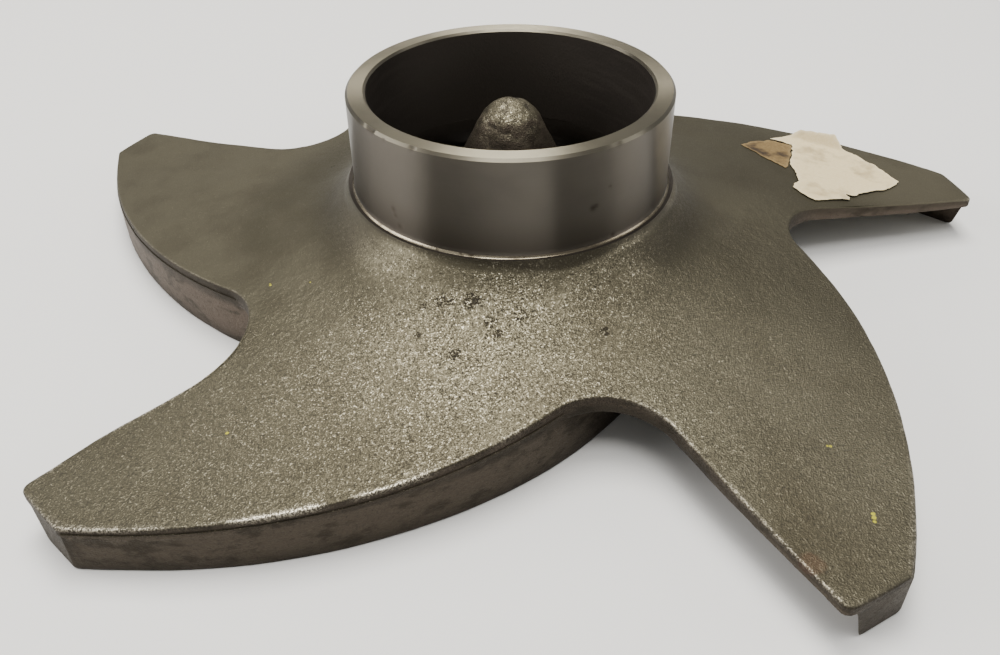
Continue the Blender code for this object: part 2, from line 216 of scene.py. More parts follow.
class Value:
    """A number that varies over a surface, as a shader socket with arithmetic operators."""

    def __init__(self, graph: "Graph", socket: bpy.types.NodeSocket) -> None:
        """Wrap a socket of a graph."""
        self.graph = graph
        self.socket = socket

    def _math(self, operation: str, *operands: Any, clamp: bool = False) -> "Value":
        """Result of a Math node of an operation, kept from 0 to 1 if it is clamped."""
        settings = {"operation": operation, "use_clamp": clamp}
        return self.graph.value("ShaderNodeMath", settings, dict(enumerate(operands)))

    def __add__(self, other: Any) -> "Value":
        """Sum."""
        return self._math("ADD", self, other)

    def __radd__(self, other: Any) -> "Value":
        """Sum with a number on the left."""
        return self._math("ADD", other, self)

    def __sub__(self, other: Any) -> "Value":
        """Difference."""
        return self._math("SUBTRACT", self, other)

    def __rsub__(self, other: Any) -> "Value":
        """Difference from a number on the left."""
        return self._math("SUBTRACT", other, self)

    def __mul__(self, other: Any) -> "Value":
        """Product."""
        return self._math("MULTIPLY", self, other)

    def __rmul__(self, other: Any) -> "Value":
        """Product with a number on the left."""
        return self._math("MULTIPLY", other, self)

    def __abs__(self) -> "Value":
        """Size without the sign."""
        return self._math("ABSOLUTE", self)

    def most(self, other: Any) -> "Value":
        """The larger of two values."""
        return self._math("MAXIMUM", self, other)

    def clamped(self) -> "Value":
        """The value kept from 0 to 1."""
        return self._math("ADD", self, 0.0, clamp=True)

    def step(self, low: float, high: float) -> "Value":
        """Smooth step of the value, from 0 at low to 1 at high, which may be the smaller."""
        sockets = {"Value": self, "From Min": low, "From Max": high}
        return self.graph.value("ShaderNodeMapRange", {"interpolation_type": "SMOOTHSTEP"}, sockets)


class Graph:
    """The node tree of one material.

    Attributes:
        FINER_SHARE: Strength of each finer layer of a noise, against the layer before it.
    """

    FINER_SHARE = 0.55

    def __init__(self, name: str) -> None:
        """Make the material and keep its shader.

        Args:
            name: The material's name.
        """
        self.material = bpy.data.materials.new(name)
        self.material.use_nodes = True
        self.tree = self.material.node_tree
        self.shader = self.tree.nodes["Principled BSDF"]
        coordinates = self.add("ShaderNodeTexCoord")
        self.place = coordinates.outputs["Object"]

    def add(
        self, kind: str, settings: dict[str, Any] | None = None, sockets: dict[Any, Any] | None = None
    ) -> bpy.types.ShaderNode:
        """Add a node.

        Args:
            kind: The node's type.
            settings: The node's own settings, set first.
            sockets: Values or links of its input sockets, by name, identifier or place.

        Returns:
            The new node.
        """
        node = self.tree.nodes.new(kind)
        for key, setting in (settings or {}).items():
            setattr(node, key, setting)
        for key, given in (sockets or {}).items():
            self.feed(node, key, given)
        return node

    def feed(self, node: bpy.types.ShaderNode, key: str | int, given: Any) -> None:
        """Set or link one input socket of a node.

        Args:
            node: The node.
            key: The socket's name, identifier or place.
            given: A number, a tuple, a Value or a socket.
        """
        if isinstance(key, int):
            socket = node.inputs[key]
        else:
            named = [one for one in node.inputs if key in (one.identifier, one.name)]
            socket = next((one for one in named if one.identifier == key), named[0])
        if isinstance(given, Value):
            given = given.socket
        if isinstance(given, bpy.types.NodeSocket):
            self.tree.links.new(given, socket)
        elif socket.type == "RGBA":
            socket.default_value = (*given, 1.0)
        else:
            socket.default_value = given

    def value(
        self, kind: str, settings: dict[str, Any], sockets: dict[Any, Any], output: str | int = 0
    ) -> Value:
        """Add a node and wrap one of its outputs, told by its name or its place."""
        return Value(self, self.add(kind, settings, sockets).outputs[output])

    def stretched(self, scale: Stretch) -> bpy.types.NodeSocket:
        """The place on the object, multiplied by a scale along each axis."""
        sockets = {"Vector": self.place, "Vector_001": scale}
        return self.add("ShaderNodeVectorMath", {"operation": "MULTIPLY"}, sockets).outputs[0]

    def noise(
        self, size: float, detail: float = 2.0, stretch: Stretch | None = None, shift: float = 0.0
    ) -> Value:
        """Noise of a feature size.

        Args:
            size: Width of a feature in metres.
            detail: Number of finer layers.
            stretch: Scale along each axis before the noise, if it isn't even.
            shift: Number that picks another pattern of the same kind.

        Returns:
            The noise, about 0.5 on average.
        """
        place = self.stretched(stretch) if stretch else self.place
        sockets = {"Vector": place, "W": shift, "Scale": 1 / size, "Detail": detail, "Roughness": self.FINER_SHARE}
        return self.value("ShaderNodeTexNoise", {"noise_dimensions": "4D"}, sockets)

    def cells(self, size: float, shift: float = 0.0) -> Value:
        """Distance to the nearest of points strewn in space, as a share of their spacing."""
        sockets = {"Vector": self.place, "W": shift, "Scale": 1 / size}
        return self.value("ShaderNodeTexVoronoi", {"voronoi_dimensions": "4D"}, sockets, "Distance")

    def mask(self, mask: Mask) -> Value:
        """A mask that the mesh carries on its points."""
        return self.value("ShaderNodeAttribute", {"attribute_name": mask.value}, {}, "Fac")

    def axis(self, name: str) -> Value:
        """One coordinate of the place on the object, X, Y or Z."""
        return self.value("ShaderNodeSeparateXYZ", {}, {"Vector": self.place}, name)

    def upward(self) -> Value:
        """How far the surface faces up, from -1 to 1."""
        normal = self.add("ShaderNodeNewGeometry").outputs["True Normal"]
        return self.value("ShaderNodeSeparateXYZ", {}, {"Vector": normal}, "Z")

    def near(self, center: tuple[float, float, float], reach: float) -> Value:
        """Mask that is 1 at a point and falls to 0 at a distance.

        Args:
            center: The point.
            reach: The distance.

        Returns:
            The mask.
        """
        sockets = {"Vector": self.place, "Vector_001": center}
        away = self.value("ShaderNodeVectorMath", {"operation": "DISTANCE"}, sockets, "Value")
        return away.step(reach, 0.0)

    def mix(self, share: Any, first: Any, second: Any) -> bpy.types.NodeSocket:
        """Colour between two colours.

        Args:
            share: How much of the second colour.
            first: Colour or socket at 0.
            second: Colour or socket at 1.

        Returns:
            The mixed colour's socket.
        """
        sockets = {"Factor_Float": share, "A_Color": first, "B_Color": second}
        node = self.add("ShaderNodeMix", {"data_type": "RGBA", "clamp_factor": True}, sockets)
        return next(one for one in node.outputs if one.identifier == "Result_Color")

    def bump(self, height: Value, depth: float) -> bpy.types.NodeSocket:
        """Normal of a surface with a relief from 0 to 1, where 1 is as deep as the depth."""
        sockets = {"Height": height, "Distance": depth, "Strength": 1.0}
        return self.add("ShaderNodeBump", {}, sockets).outputs["Normal"]

    def dress(self, **sockets: Any) -> bpy.types.Material:
        """Feed the shader's sockets, named with underscores for spaces.

        Args:
            sockets: Values or links by socket name.

        Returns:
            The finished material.
        """
        for key, given in sockets.items():
            self.feed(self.shader, key.replace("_", " "), given)
        return self.material


# ---- finishes


@dataclass(frozen=True)
class Share:
    """How much of a colour a mark puts on, and how much more it puts on where another mask is full."""

    plain: float
    more: float

    def at(self, mask: Value) -> Value:
        """The share under a mask."""
        return self.plain + self.more * mask


@dataclass(frozen=True)
class Effect:
    """What a mark adds to the roughness and the metal of the surface, where the mark is full."""

    rough: float = 0.0
    metal: float = 0.0


@dataclass(frozen=True)
class CastSkin:
    """Sand-cast steel: a greasy olive grain with bright worn peaks, pits, rubbed edges and specks of paint.
    Painted light too: a painted highlight with painted glints on the near side, painted highlight on the near
    edges, and painted shade on the walls, in corners and low down.

    A field that ends in _share is how much of its colour a mark puts over what lies under it. One that ends in
    _fade is how much of the grain, or of a mark, something takes away. One that ends in _size is the width of a
    noise's features.
    """

    name: str = "cast_skin"
    deep: Colour = (0.022, 0.018, 0.011)
    ground: Colour = (0.078, 0.071, 0.048)
    dusty: Colour = (0.122, 0.111, 0.077)
    # Colour of the painted highlight on the near side and round the neck's foot.
    rubbed: Colour = (0.138, 0.124, 0.082)
    murk: Colour = (0.053, 0.046, 0.029)
    # Painted shade: colours of the walls, which are darker than the faces that face up.
    walls: Colour = (0.068, 0.055, 0.042)
    pale_walls: Colour = (0.098, 0.075, 0.060)
    worn: Colour = (0.36, 0.325, 0.232)
    # Painted glints.
    glint: Colour = (0.86, 0.80, 0.62)
    # Bare metal of worn edges, also used as painted highlight on the near edges.
    bare_and_highlight: Colour = (0.60, 0.55, 0.44)
    rust: Colour = (0.16, 0.050, 0.026)
    # Grease, also used for painted shade.
    grease_and_shade: Colour = (0.018, 0.014, 0.009)
    paint: Colour = (0.40, 0.37, 0.012)

    fine_size: float = 0.42 * MM
    coarse_size: float = 1.092 * MM
    pebble_size: float = 2.3 * MM
    mottle_size: float = 7 * MM
    mottle_stretch: Stretch = (1.0, 1.0, 2.0)
    smear_size: float = 9 * MM
    blotch_size: float = 15 * MM
    drift_size: float = 55 * MM
    ragged_pit_size: float = 2.4 * MM
    ragged_stain_size: float = 2.5 * MM
    ragged_fleck_size: float = 0.6 * MM
    coarse_in_relief: float = 0.35
    coarse_in_flaws: float = 0.6

    peak_span: Span = (0.47, 0.59)
    glint_span: Span = (0.595, 0.640)
    hollow_span: Span = (0.46, 0.385)
    pore_span: Span = (0.40, 0.34)
    flaw_span: Span = (0.56, 0.44)
    smear_span: Span = (0.50, 0.66)
    blotch_span: Span = (0.44, 0.70)
    drift_span: Span = (0.40, 0.70)
    mottle_span: Span = (0.48, 0.64)
    edge_span: Span = (0.46, 0.55)
    ragged_span: Span = (0.10, 0.30)
    wall_span: Span = (0.75, 0.35)

    calm_fade: float = 0.72
    smear_fade: float = 0.45
    greasy_fade: float = 0.42
    worn_wall_fade: float = 0.80
    glint_wall_fade: float = 0.90
    machined_fade: float = 0.93
    edge_fade: float = 0.35

    blotch_share: float = 0.34
    greasy_share: float = 0.62
    drift_share: float = 0.25
    mottle_share: float = 0.66
    wall_share: float = 0.92
    pit_share: float = 0.78
    stain_share: float = 0.13
    deep_share: Share = Share(0.38, 0.46)
    worn_share: Share = Share(0.12, 0.42)
    glint_share: Share = Share(0.10, 0.76)
    dirt_and_shade_share: Share = Share(0.55, 0.40)
    bare_and_highlight_share: Share = Share(0.10, 1.10)

    roughness: float = 0.53
    metal: float = 0.84
    peak_effect: Effect = Effect(rough=-0.16, metal=0.12)
    hollow_effect: Effect = Effect(rough=0.18, metal=-0.30)
    dirt_and_shade_effect: Effect = Effect(metal=-0.10)
    edge_effect: Effect = Effect(rough=-0.12)
    wall_effect: Effect = Effect(rough=0.14)
    machined_effect: Effect = Effect(rough=-0.12)
    fleck_effect: Effect = Effect(rough=0.20, metal=-0.80)
    burnished_effect: Effect = Effect(rough=-0.05)

    relief: float = 0.40 * MM
    pit_depth: float = 0.35
    swell: float = 0.12
    calm_swell: float = 2.6
    stains: tuple[Spot, ...] = ((39.4, -146.8, -23.1, 5.0),)
    flecks: tuple[Spot, ...] = (
        (59.3, -136.6, -22.9, 0.85), (59.0, -137.6, -23.0, 1.0), (58.6, -138.7, -23.0, 0.75),
        (57.9, -115.3, -21.5, 0.55), (58.7, -115.5, -21.5, 0.65), (-89.3, -82.6, -20.8, 0.75),
        (-78.4, -24.9, -15.8, 0.5), (-78.3, -25.7, -15.9, 0.65), (-66.3, -29.2, -14.0, 0.45),
    )
    pits: tuple[Spot, ...] = (
        (-35.2, -52.2, -10.5, 2.0), (-30.4, -52.0, -9.6, 3.2), (-27.2, -53.4, -9.2, 2.2),
        (-21.6, -54.6, -9.0, 4.0), (-17.7, -61.8, -11.6, 3.4), (-16.2, -65.9, -12.7, 2.4),
        (-9.0, -61.6, -10.9, 3.0), (-28.8, -70.0, -14.7, 3.2), (13.1, -69.4, -13.6, 2.6),
        (-37.9, -60.8, -13.8, 2.0), (-56.5, 40.2, -13.3, 1.8), (-52.9, 40.0, -12.4, 1.5),
    )

    def spots(self, graph: Graph, places: Sequence[Spot], ragged: float) -> Value:
        """Mask of spots with a ragged edge.

        Args:
            graph: The material's graph.
            places: X, Y, Z and radius of each spot, in millimetres.
            ragged: Feature size of the raggedness.

        Returns:
            The mask.
        """
        torn = graph.noise(ragged, detail=2.0, shift=31.0)
        total: Any = 0.0
        for x, y, z, radius in places:
            spot = graph.near((x * MM, y * MM, z * MM), radius * MM)
            total = total + (spot * torn).step(*self.ragged_span)
        return total.clamped()

    def material(self) -> bpy.types.Material:
        """The material: first its noises and masks, then its colours from the ground up, then its relief."""
        graph = Graph(self.name)
        coarse = graph.noise(self.coarse_size, detail=2.0)
        fine = graph.noise(self.fine_size, detail=1.5, shift=3.0)
        pebble = graph.noise(self.pebble_size, detail=1.5, shift=23.0)
        mottle = graph.noise(self.mottle_size, detail=3.0, stretch=self.mottle_stretch, shift=17.0)
        smear = graph.noise(self.smear_size, detail=2.0, shift=29.0).step(*self.smear_span)
        blotch = graph.noise(self.blotch_size, detail=3.0, shift=7.0)
        drift = graph.noise(self.drift_size, detail=2.0, shift=11.0)
        edge, soiled, machined = graph.mask(Mask.EDGE), graph.mask(Mask.DIRT_AND_SHADE), graph.mask(Mask.MACHINED)
        burnished, calm, greasy = graph.mask(Mask.BURNISH_AND_HIGHLIGHT), graph.mask(Mask.CALM), graph.mask(Mask.GREASY)
        stained = self.spots(graph, self.stains, self.ragged_stain_size)
        fleck = self.spots(graph, self.flecks, self.ragged_fleck_size)

        grip = (1 - self.calm_fade * calm) * (1 - self.smear_fade * smear * burnished)
        grip = grip * (1 - self.greasy_fade * greasy)
        relief = coarse * self.coarse_in_relief + fine * (1 - self.coarse_in_relief)
        peaks = relief.step(*self.peak_span) * grip
        glints = relief.step(*self.glint_span) * grip
        hollows = relief.step(*self.hollow_span) * grip
        flaw = (coarse * self.coarse_in_flaws + fine * (1 - self.coarse_in_flaws)).step(*self.flaw_span)
        pore = relief.step(*self.pore_span) * graph.mask(Mask.PITTED)
        pit = (flaw * self.spots(graph, self.pits, self.ragged_pit_size)).most(pore)
        wall = abs(graph.upward()).step(*self.wall_span) * (1 - graph.mask(Mask.SKIRT))

        tone = graph.mix(graph.mask(Mask.DUSTY), self.ground, self.dusty)
        # Painted highlight: lighter on the near side of the plate and round the neck's foot.
        tone = graph.mix(burnished, tone, self.rubbed)
        murky = blotch.step(*self.blotch_span) * self.blotch_share + self.greasy_share * greasy
        tone = graph.mix(murky.clamped(), tone, self.murk)
        tone = graph.mix(drift.step(*self.drift_span) * self.drift_share, tone, self.murk)
        # Painted shade: faces that don't face up take the darker wall colours, paler where the highlight mask is.
        shaded_side = graph.mix(burnished, self.walls, self.pale_walls)
        shaded_side = graph.mix(mottle.step(*self.mottle_span) * self.mottle_share, shaded_side, self.grease_and_shade)
        tone = graph.mix(wall * self.wall_share, tone, shaded_side)
        tone = graph.mix(hollows * self.deep_share.at(burnished), tone, self.deep)
        # Worn peaks and bright glints, with more of both under the painted highlight; the glints are painted
        # highlights.
        worn = peaks * self.worn_share.at(burnished) * (1 - self.worn_wall_fade * wall)
        tone = graph.mix(worn.clamped(), tone, self.worn)
        glinting = glints * self.glint_share.at(burnished) * (1 - self.glint_wall_fade * wall)
        tone = graph.mix(glinting.clamped(), tone, self.glint)
        # Dirt and painted shade.
        tone = graph.mix((soiled * self.dirt_and_shade_share.at(blotch)).clamped(), tone, self.grease_and_shade)
        tone = graph.mix(pit * self.pit_share, tone, self.grease_and_shade)
        # Bare worn edges, with painted highlight on the near edges.
        scraped = edge * self.bare_and_highlight_share.at(relief.step(*self.edge_span))
        tone = graph.mix(scraped.clamped(), tone, self.bare_and_highlight)
        tone = graph.mix(stained * self.stain_share, tone, self.rust)
        tone = graph.mix(fleck, tone, self.paint)

        rough: Any = self.roughness
        metal: Any = self.metal
        for effect, mark in (
            (self.peak_effect, peaks), (self.hollow_effect, hollows), (self.dirt_and_shade_effect, soiled),
            (self.edge_effect, edge), (self.wall_effect, wall), (self.machined_effect, machined),
            (self.fleck_effect, fleck), (self.burnished_effect, burnished),
        ):
            rough = rough + effect.rough * mark if effect.rough else rough
            metal = metal + effect.metal * mark if effect.metal else metal
        swell = self.swell + self.calm_swell * calm * (1 - calm)
        height = relief * grip + swell * pebble - self.pit_depth * pit
        height = height * (1 - self.machined_fade * machined) * (1 - self.edge_fade * edge)
        return graph.dress(
            Base_Color=tone, Roughness=rough.clamped(), Metallic=metal.clamped(),
            Normal=graph.bump(height, self.relief),
        )


@dataclass(frozen=True)
class TurnedSteel:
    """Steel turned on a lathe: a fine lay of grooves round the axis, with a few knocks and stains. Its top faces
    are painted lighter as painted highlight, and its wall darker towards the foot as painted shade.
    """

    name: str = "turned_steel"
    # Top faces take the first colour, painted lighter as painted highlight; walls the second, painted darker as
    # painted shade.
    bright: Colour = (0.240, 0.222, 0.166)
    shaded_side: Colour = (0.121, 0.110, 0.094)
    dull: Colour = (0.100, 0.092, 0.080)
    tarnish_and_shade: Colour = (0.05, 0.040, 0.030)
    groove_stretch: Stretch = (30.0, 30.0, 5200.0)
    groove_span: Span = (0.35, 0.65)
    groove_share: float = 0.10
    groove_in_relief: float = 0.7
    band_stretch: Stretch = (14.0, 14.0, 700.0)
    cloud_size: float = 12 * MM
    cloud_span: Span = (0.45, 0.75)
    cloud_share: float = 0.30
    rough_cloud_span: Span = (0.40, 0.75)
    speck_size: float = 4.5 * MM
    speck_span: Span = (0.16, 0.04)
    speck_field_size: float = 14 * MM
    speck_field_span: Span = (0.52, 0.60)
    speck_share: float = 0.80
    knock_share: float = 0.85
    side_span: Span = (0.92, 0.42)
    foot_shade_span: Span = (14 * MM, -1 * MM)
    foot_shade_share: float = 0.55
    roughness: float = 0.33
    groove_rough: float = 0.04
    cloud_rough: float = 0.06
    speck_rough: float = 0.25
    knock_rough: float = 0.30
    metal: float = 0.97
    anisotropy: float = 0.94
    anisotropy_turn: float = 0.25
    relief: float = 0.004 * MM

    def material(self) -> bpy.types.Material:
        """The material, with its lay and its marks."""
        graph = Graph(self.name)
        groove = graph.noise(1.0, detail=2.0, stretch=self.groove_stretch)
        band = graph.noise(1.0, detail=2.0, stretch=self.band_stretch, shift=2.0)
        cloud = graph.noise(self.cloud_size, detail=3.0, shift=4.0)
        field_noise = graph.noise(self.speck_field_size, detail=1.0, shift=9.0)
        speck = graph.cells(self.speck_size, shift=8.0).step(*self.speck_span)
        speck = speck * field_noise.step(*self.speck_field_span)
        knock = graph.mask(Mask.KNOCK)
        # Painted shade: the wall darkens towards the foot, as a painted reflection of the dark plate; top faces
        # are painted lighter than walls.
        shaded = graph.mix(graph.axis("Z").step(*self.foot_shade_span) * self.foot_shade_share, self.shaded_side, self.tarnish_and_shade)
        tone = graph.mix(abs(graph.upward()).step(*self.side_span), self.bright, shaded)
        dulled = groove.step(*self.groove_span) * self.groove_share
        dulled = dulled + cloud.step(*self.cloud_span) * self.cloud_share
        tone = graph.mix(dulled, tone, self.dull)
        tone = graph.mix((speck * self.speck_share).clamped(), tone, self.tarnish_and_shade)
        tone = graph.mix((knock * self.knock_share).clamped(), tone, self.tarnish_and_shade)
        rough = self.roughness + self.groove_rough * groove + self.cloud_rough * cloud.step(*self.rough_cloud_span)
        rough = rough + self.speck_rough * speck + self.knock_rough * knock
        height = groove * self.groove_in_relief + band * (1 - self.groove_in_relief)
        return graph.dress(
            Base_Color=tone, Roughness=rough.clamped(), Metallic=self.metal, Anisotropic=self.anisotropy,
            Anisotropic_Rotation=self.anisotropy_turn, Normal=graph.bump(height, self.relief),
        )


@dataclass(frozen=True)
class RubAndHighlightEdge:
    """Steel rubbed bright in stretches, as on the fillet at the foot of the neck, made brighter where its mask is
    full as a painted highlight.
    """

    name: str = "rub_and_highlight_edge"
    bright: Colour = (0.50, 0.44, 0.32)
    dull: Colour = (0.12, 0.100, 0.070)
    stretch_size: float = 6 * MM
    fine_size: float = 1.2 * MM
    fine_in_wear: float = 0.4
    wear_span: Span = (0.62, 0.48)
    wear_share: Share = Share(0.22, 0.78)
    roughness: float = 0.26
    metal: float = 0.97

    def material(self) -> bpy.types.Material:
        """The material, bright in stretches of uneven length."""
        graph = Graph(self.name)
        stretches = graph.noise(self.stretch_size, detail=3.0)
        fine = graph.noise(self.fine_size, detail=2.0, shift=2.0)
        uneven = (stretches * (1 - self.fine_in_wear) + fine * self.fine_in_wear).step(*self.wear_span)
        worn = uneven * self.wear_share.at(graph.mask(Mask.RUB_AND_HIGHLIGHT))
        tone = graph.mix(worn.clamped(), self.dull, self.bright)
        return graph.dress(Base_Color=tone, Roughness=self.roughness, Metallic=self.metal)


@dataclass(frozen=True)
class EyeSkin:
    """The eye's wall: turned once, painted dark as painted shade, with painted light on its far side."""

    name: str = "eye_skin"
    ground: Colour = (0.032, 0.026, 0.021)
    light: Colour = (0.060, 0.051, 0.042)
    lit_far_side: Span = (22 * MM, 43 * MM)
    streak_stretch: Stretch = (60.0, 60.0, 420.0)
    streak_span: Span = (0.42, 0.72)
    streak_share: float = 0.35
    grain_size: float = 0.8 * MM
    roughness: Share = Share(0.52, 0.20)
    metal: float = 0.55
    relief: float = 0.07 * MM

    def material(self) -> bpy.types.Material:
        """The material, streaked round the wall."""
        graph = Graph(self.name)
        streak = graph.noise(1.0, detail=3.0, stretch=self.streak_stretch)
        grain = graph.noise(self.grain_size, detail=2.0, shift=2.0)
        # Painted light: the eye's far wall is lighter.
        tone = graph.mix(graph.axis("Y").step(*self.lit_far_side), self.ground, self.light)
        tone = graph.mix(streak.step(*self.streak_span) * self.streak_share, tone, self.light)
        return graph.dress(
            Base_Color=tone, Roughness=self.roughness.at(grain).clamped(), Metallic=self.metal,
            Normal=graph.bump(grain, self.relief),
        )


@dataclass(frozen=True)
class Paper:
    """Matt paper with fibres, grime and worn, paler edges, and painted shade on a curled strip."""

    name: str
    ground: Colour
    grime_and_shade: Colour
    fibre: Colour
    grime_share: float
    fibre_size: float = 0.9 * MM
    fibre_span: Span = (0.40, 0.70)
    fibre_share: float = 0.35
    fibre_in_relief: float = 0.5
    smear_size: float = 9 * MM
    smear_span: Span = (0.48, 0.72)
    speck_size: float = 2.2 * MM
    speck_span: Span = (0.62, 0.76)
    speck_share: float = 0.5
    curl_shade_share: float = 0.34
    rim_share: float = 0.5
    roughness: float = 0.88
    relief: float = 0.06 * MM

    def material(self) -> bpy.types.Material:
        """The material, with fibres, smears and a torn rim."""
        graph = Graph(self.name)
        fibres = graph.noise(self.fibre_size, detail=4.0)
        smear = graph.noise(self.smear_size, detail=4.0, shift=5.0)
        speck = graph.noise(self.speck_size, detail=3.0, shift=6.0)
        tone = graph.mix(fibres.step(*self.fibre_span) * self.fibre_share, self.ground, self.fibre)
        # Painted shade on the curled strip near the far edge.
        tone = graph.mix(graph.mask(Mask.CURL) * self.curl_shade_share, tone, self.grime_and_shade)
        tone = graph.mix((smear.step(*self.smear_span) * self.grime_share).clamped(), tone, self.grime_and_shade)
        tone = graph.mix(speck.step(*self.speck_span) * self.speck_share * self.grime_share, tone, self.grime_and_shade)
        tone = graph.mix((graph.mask(Mask.RIM) * self.rim_share).clamped(), tone, self.fibre)
        height = fibres * self.fibre_in_relief + speck * (1 - self.fibre_in_relief)
        return graph.dress(Base_Color=tone, Roughness=self.roughness, Normal=graph.bump(height, self.relief))


@dataclass(frozen=True)
class PaleFloor:
    """Plain pale floor."""

    name: str = "pale_floor"
    ground: Colour = (0.87, 0.87, 0.86)
    cloud_size: float = 0.25
    cloud_span: Span = (0.30, 0.70)
    cloud_share: float = 0.5
    cloud_shade: float = 0.975
    roughness: float = 0.75

    def material(self) -> bpy.types.Material:
        """The material, with a faint unevenness."""
        graph = Graph(self.name)
        cloud = graph.noise(self.cloud_size, detail=2.0)
        shaded = tuple(self.cloud_shade * part for part in self.ground)
        tone = graph.mix(cloud.step(*self.cloud_span) * self.cloud_share, self.ground, shaded)
        return graph.dress(Base_Color=tone, Roughness=self.roughness)


# ---- shapes


@dataclass(frozen=True)
class StarShape:
    """Sizes of the casting, and the curves that follow from them."""

    arms: int = 5
    tip_radius: float = 165.1 * MM
    tip_land: float = math.radians(6.6)
    tip_top: float = 14.3 * MM
    crown_slope: float = 0.037
    crown_curve: float = 0.69
    plate_at_tip: float = 2.8 * MM
    plate_at_valley: float = 5.2 * MM
    growth_end: float = 1.3
    valley_radius: float = 91.0 * MM
    valley_arc: float = 20.0 * MM
    straight_inner_radius: float = 104.0 * MM
    straight_lead: float = math.radians(3.0)
    corner_round: float = 2.5 * MM
    hollow_arm: int = 3
    hollow_depth: float = 3.0 * MM
    hollow_start: float = 94.0 * MM
    hollow_deepest: float = 114.0 * MM
    hollow_end: float = 147.0 * MM
    hollow_full: float = math.radians(-4.0)
    hollow_none: float = math.radians(20.0)
    foot_radius: float = 51.7 * MM
    skirt_rise: float = 10.9 * MM
    skirt_reach: float = 6.0 * MM
    outlet_angle: float = math.radians(35.0)
    inlet_angle: float = math.radians(25.0)
    steady_radius: float = 115.0 * MM
    eye_spiral_radius: float = 50.0 * MM
    root_radius: float = 24.0 * MM
    bore_depth: float = 38.0 * MM
    fan_radius: float = 65.0 * MM
    fan_follow: float = 0.8
    corner_lead: float = 1.0 * MM
    spiral_lead: float = 3.2 * MM
    straight_part: float = 0.955
    curve_steps: int = 1200
    land_steps: int = 5
    corner_points: int = 6
    spiral_points: int = 62
    arc_points: int = 18
    straight_points: int = 40

    @property
    def pitch(self) -> float:
        """Angle from one arm to the next."""
        return 2 * math.pi / self.arms

    def level(self, height: np.ndarray | float) -> np.ndarray | float:
        """Z of a height above the vanes' back plane."""
        return height - self.bore_depth

    def crown(self, radius: np.ndarray) -> np.ndarray:
        """Height of the plate's face without its skirt."""
        inward = self.tip_radius - radius
        return self.tip_top + self.crown_slope * inward + self.crown_curve * inward * inward

    def top(self, radius: np.ndarray) -> np.ndarray:
        """Height of the plate's upper face."""
        skirt = self.skirt_rise * np.exp(-np.maximum(radius - self.foot_radius, 0.0) / self.skirt_reach)
        return self.crown(radius) + skirt

    def thickness(self, radius: np.ndarray) -> np.ndarray:
        """Thickness of the plate."""
        share = np.minimum((self.tip_radius - radius) / (self.tip_radius - self.valley_radius), self.growth_end)
        return self.plate_at_tip + (self.plate_at_valley - self.plate_at_tip) * share

    def bottom(self, radius: np.ndarray) -> np.ndarray:
        """Height of the plate's lower face."""
        return self.crown(radius) - self.thickness(radius)

    def vane_angle(self, radius: np.ndarray) -> np.ndarray:
        """Angle between a vane and the circle that it crosses."""
        share = smooth(radius, self.eye_spiral_radius, self.steady_radius)
        return self.inlet_angle + (self.outlet_angle - self.inlet_angle) * share

    def spiral(self, radius: np.ndarray) -> np.ndarray:
        """Turn of a vane's convex wall from the tip's corner.

        Args:
            radius: Radii at which the turn is wanted.

        Returns:
            The turns, counter-clockwise.
        """
        radii = np.linspace(self.tip_radius, self.root_radius, self.curve_steps + 1)
        middle = (radii[1:] + radii[:-1]) / 2
        turn_steps = -np.diff(radii) / (middle * np.tan(self.vane_angle(middle)))
        turns = np.concatenate(([0.0], np.cumsum(turn_steps)))
        return np.interp(radius, radii[::-1], turns[::-1])

    def on_spiral(self, radius: float) -> np.ndarray:
        """Point on a vane's convex wall, from the tip's corner at 0."""
        return on_circle(radius, float(self.spiral(radius)))

    def straight_edge(self) -> tuple[np.ndarray, np.ndarray]:
        """Outer corner and inward direction of the next arm's straight edge, from this arm's corner at 0."""
        corner = on_circle(self.tip_radius, self.pitch - self.tip_land)
        inner = on_circle(self.straight_inner_radius, self.pitch - self.tip_land - self.straight_lead)
        return corner, (inner - corner) / np.linalg.norm(inner - corner)

    def valley(self) -> tuple[np.ndarray, float]:
        """Centre of the valley's arc and the radius at which it leaves the spiral."""
        corner, direction = self.straight_edge()
        for radius in np.linspace(self.tip_radius, self.root_radius, self.curve_steps + 1):
            turn = float(self.spiral(radius))
            foot = on_circle(radius, turn)
            center = foot + self.valley_arc * on_circle(1.0, turn + float(self.vane_angle(radius)))
            away = center - corner
            if abs(away[0] * direction[1] - away[1] * direction[0]) <= self.valley_arc:
                return center, float(radius)
        raise ValueError("the valley's arc meets no edge")

    def pitch_outline(self) -> np.ndarray:
        """One arm's share of the star's outline, from the middle of the tip on +X to short of the next tip's."""
        tip, half, steps = self.tip_radius, self.tip_land / 2, self.land_steps
        corner, direction = self.straight_edge()
        center, touch = self.valley()
        land = [on_circle(tip, -half + half * i / steps) for i in range(steps - 1)]
        near = self.on_spiral(tip - self.corner_lead)
        points = [*land, *rounded(land[-1], on_circle(tip, 0.0), near, self.corner_round, self.corner_points)]
        start = tip - self.spiral_lead
        for share in np.linspace(0.0, 1.0, self.spiral_points)[:-1]:
            points.append(self.on_spiral(start + (touch - start) * share))
        straight_end = corner + direction * float((center - corner) @ direction)
        points += arc(center, self.valley_arc, self.on_spiral(touch), straight_end, self.arc_points)
        for share in np.linspace(0.0, 1.0, self.straight_points)[1:-1]:
            points.append(straight_end + (corner - straight_end) * share * self.straight_part)
        after = on_circle(tip, self.pitch - self.tip_land + half / steps)
        points += rounded(points[-1], corner, after, self.corner_round, self.corner_points)
        points += [on_circle(tip, self.pitch - half - half * i / steps) for i in range(steps - 2, 0, -1)]
        return turned(np.array(points), half)

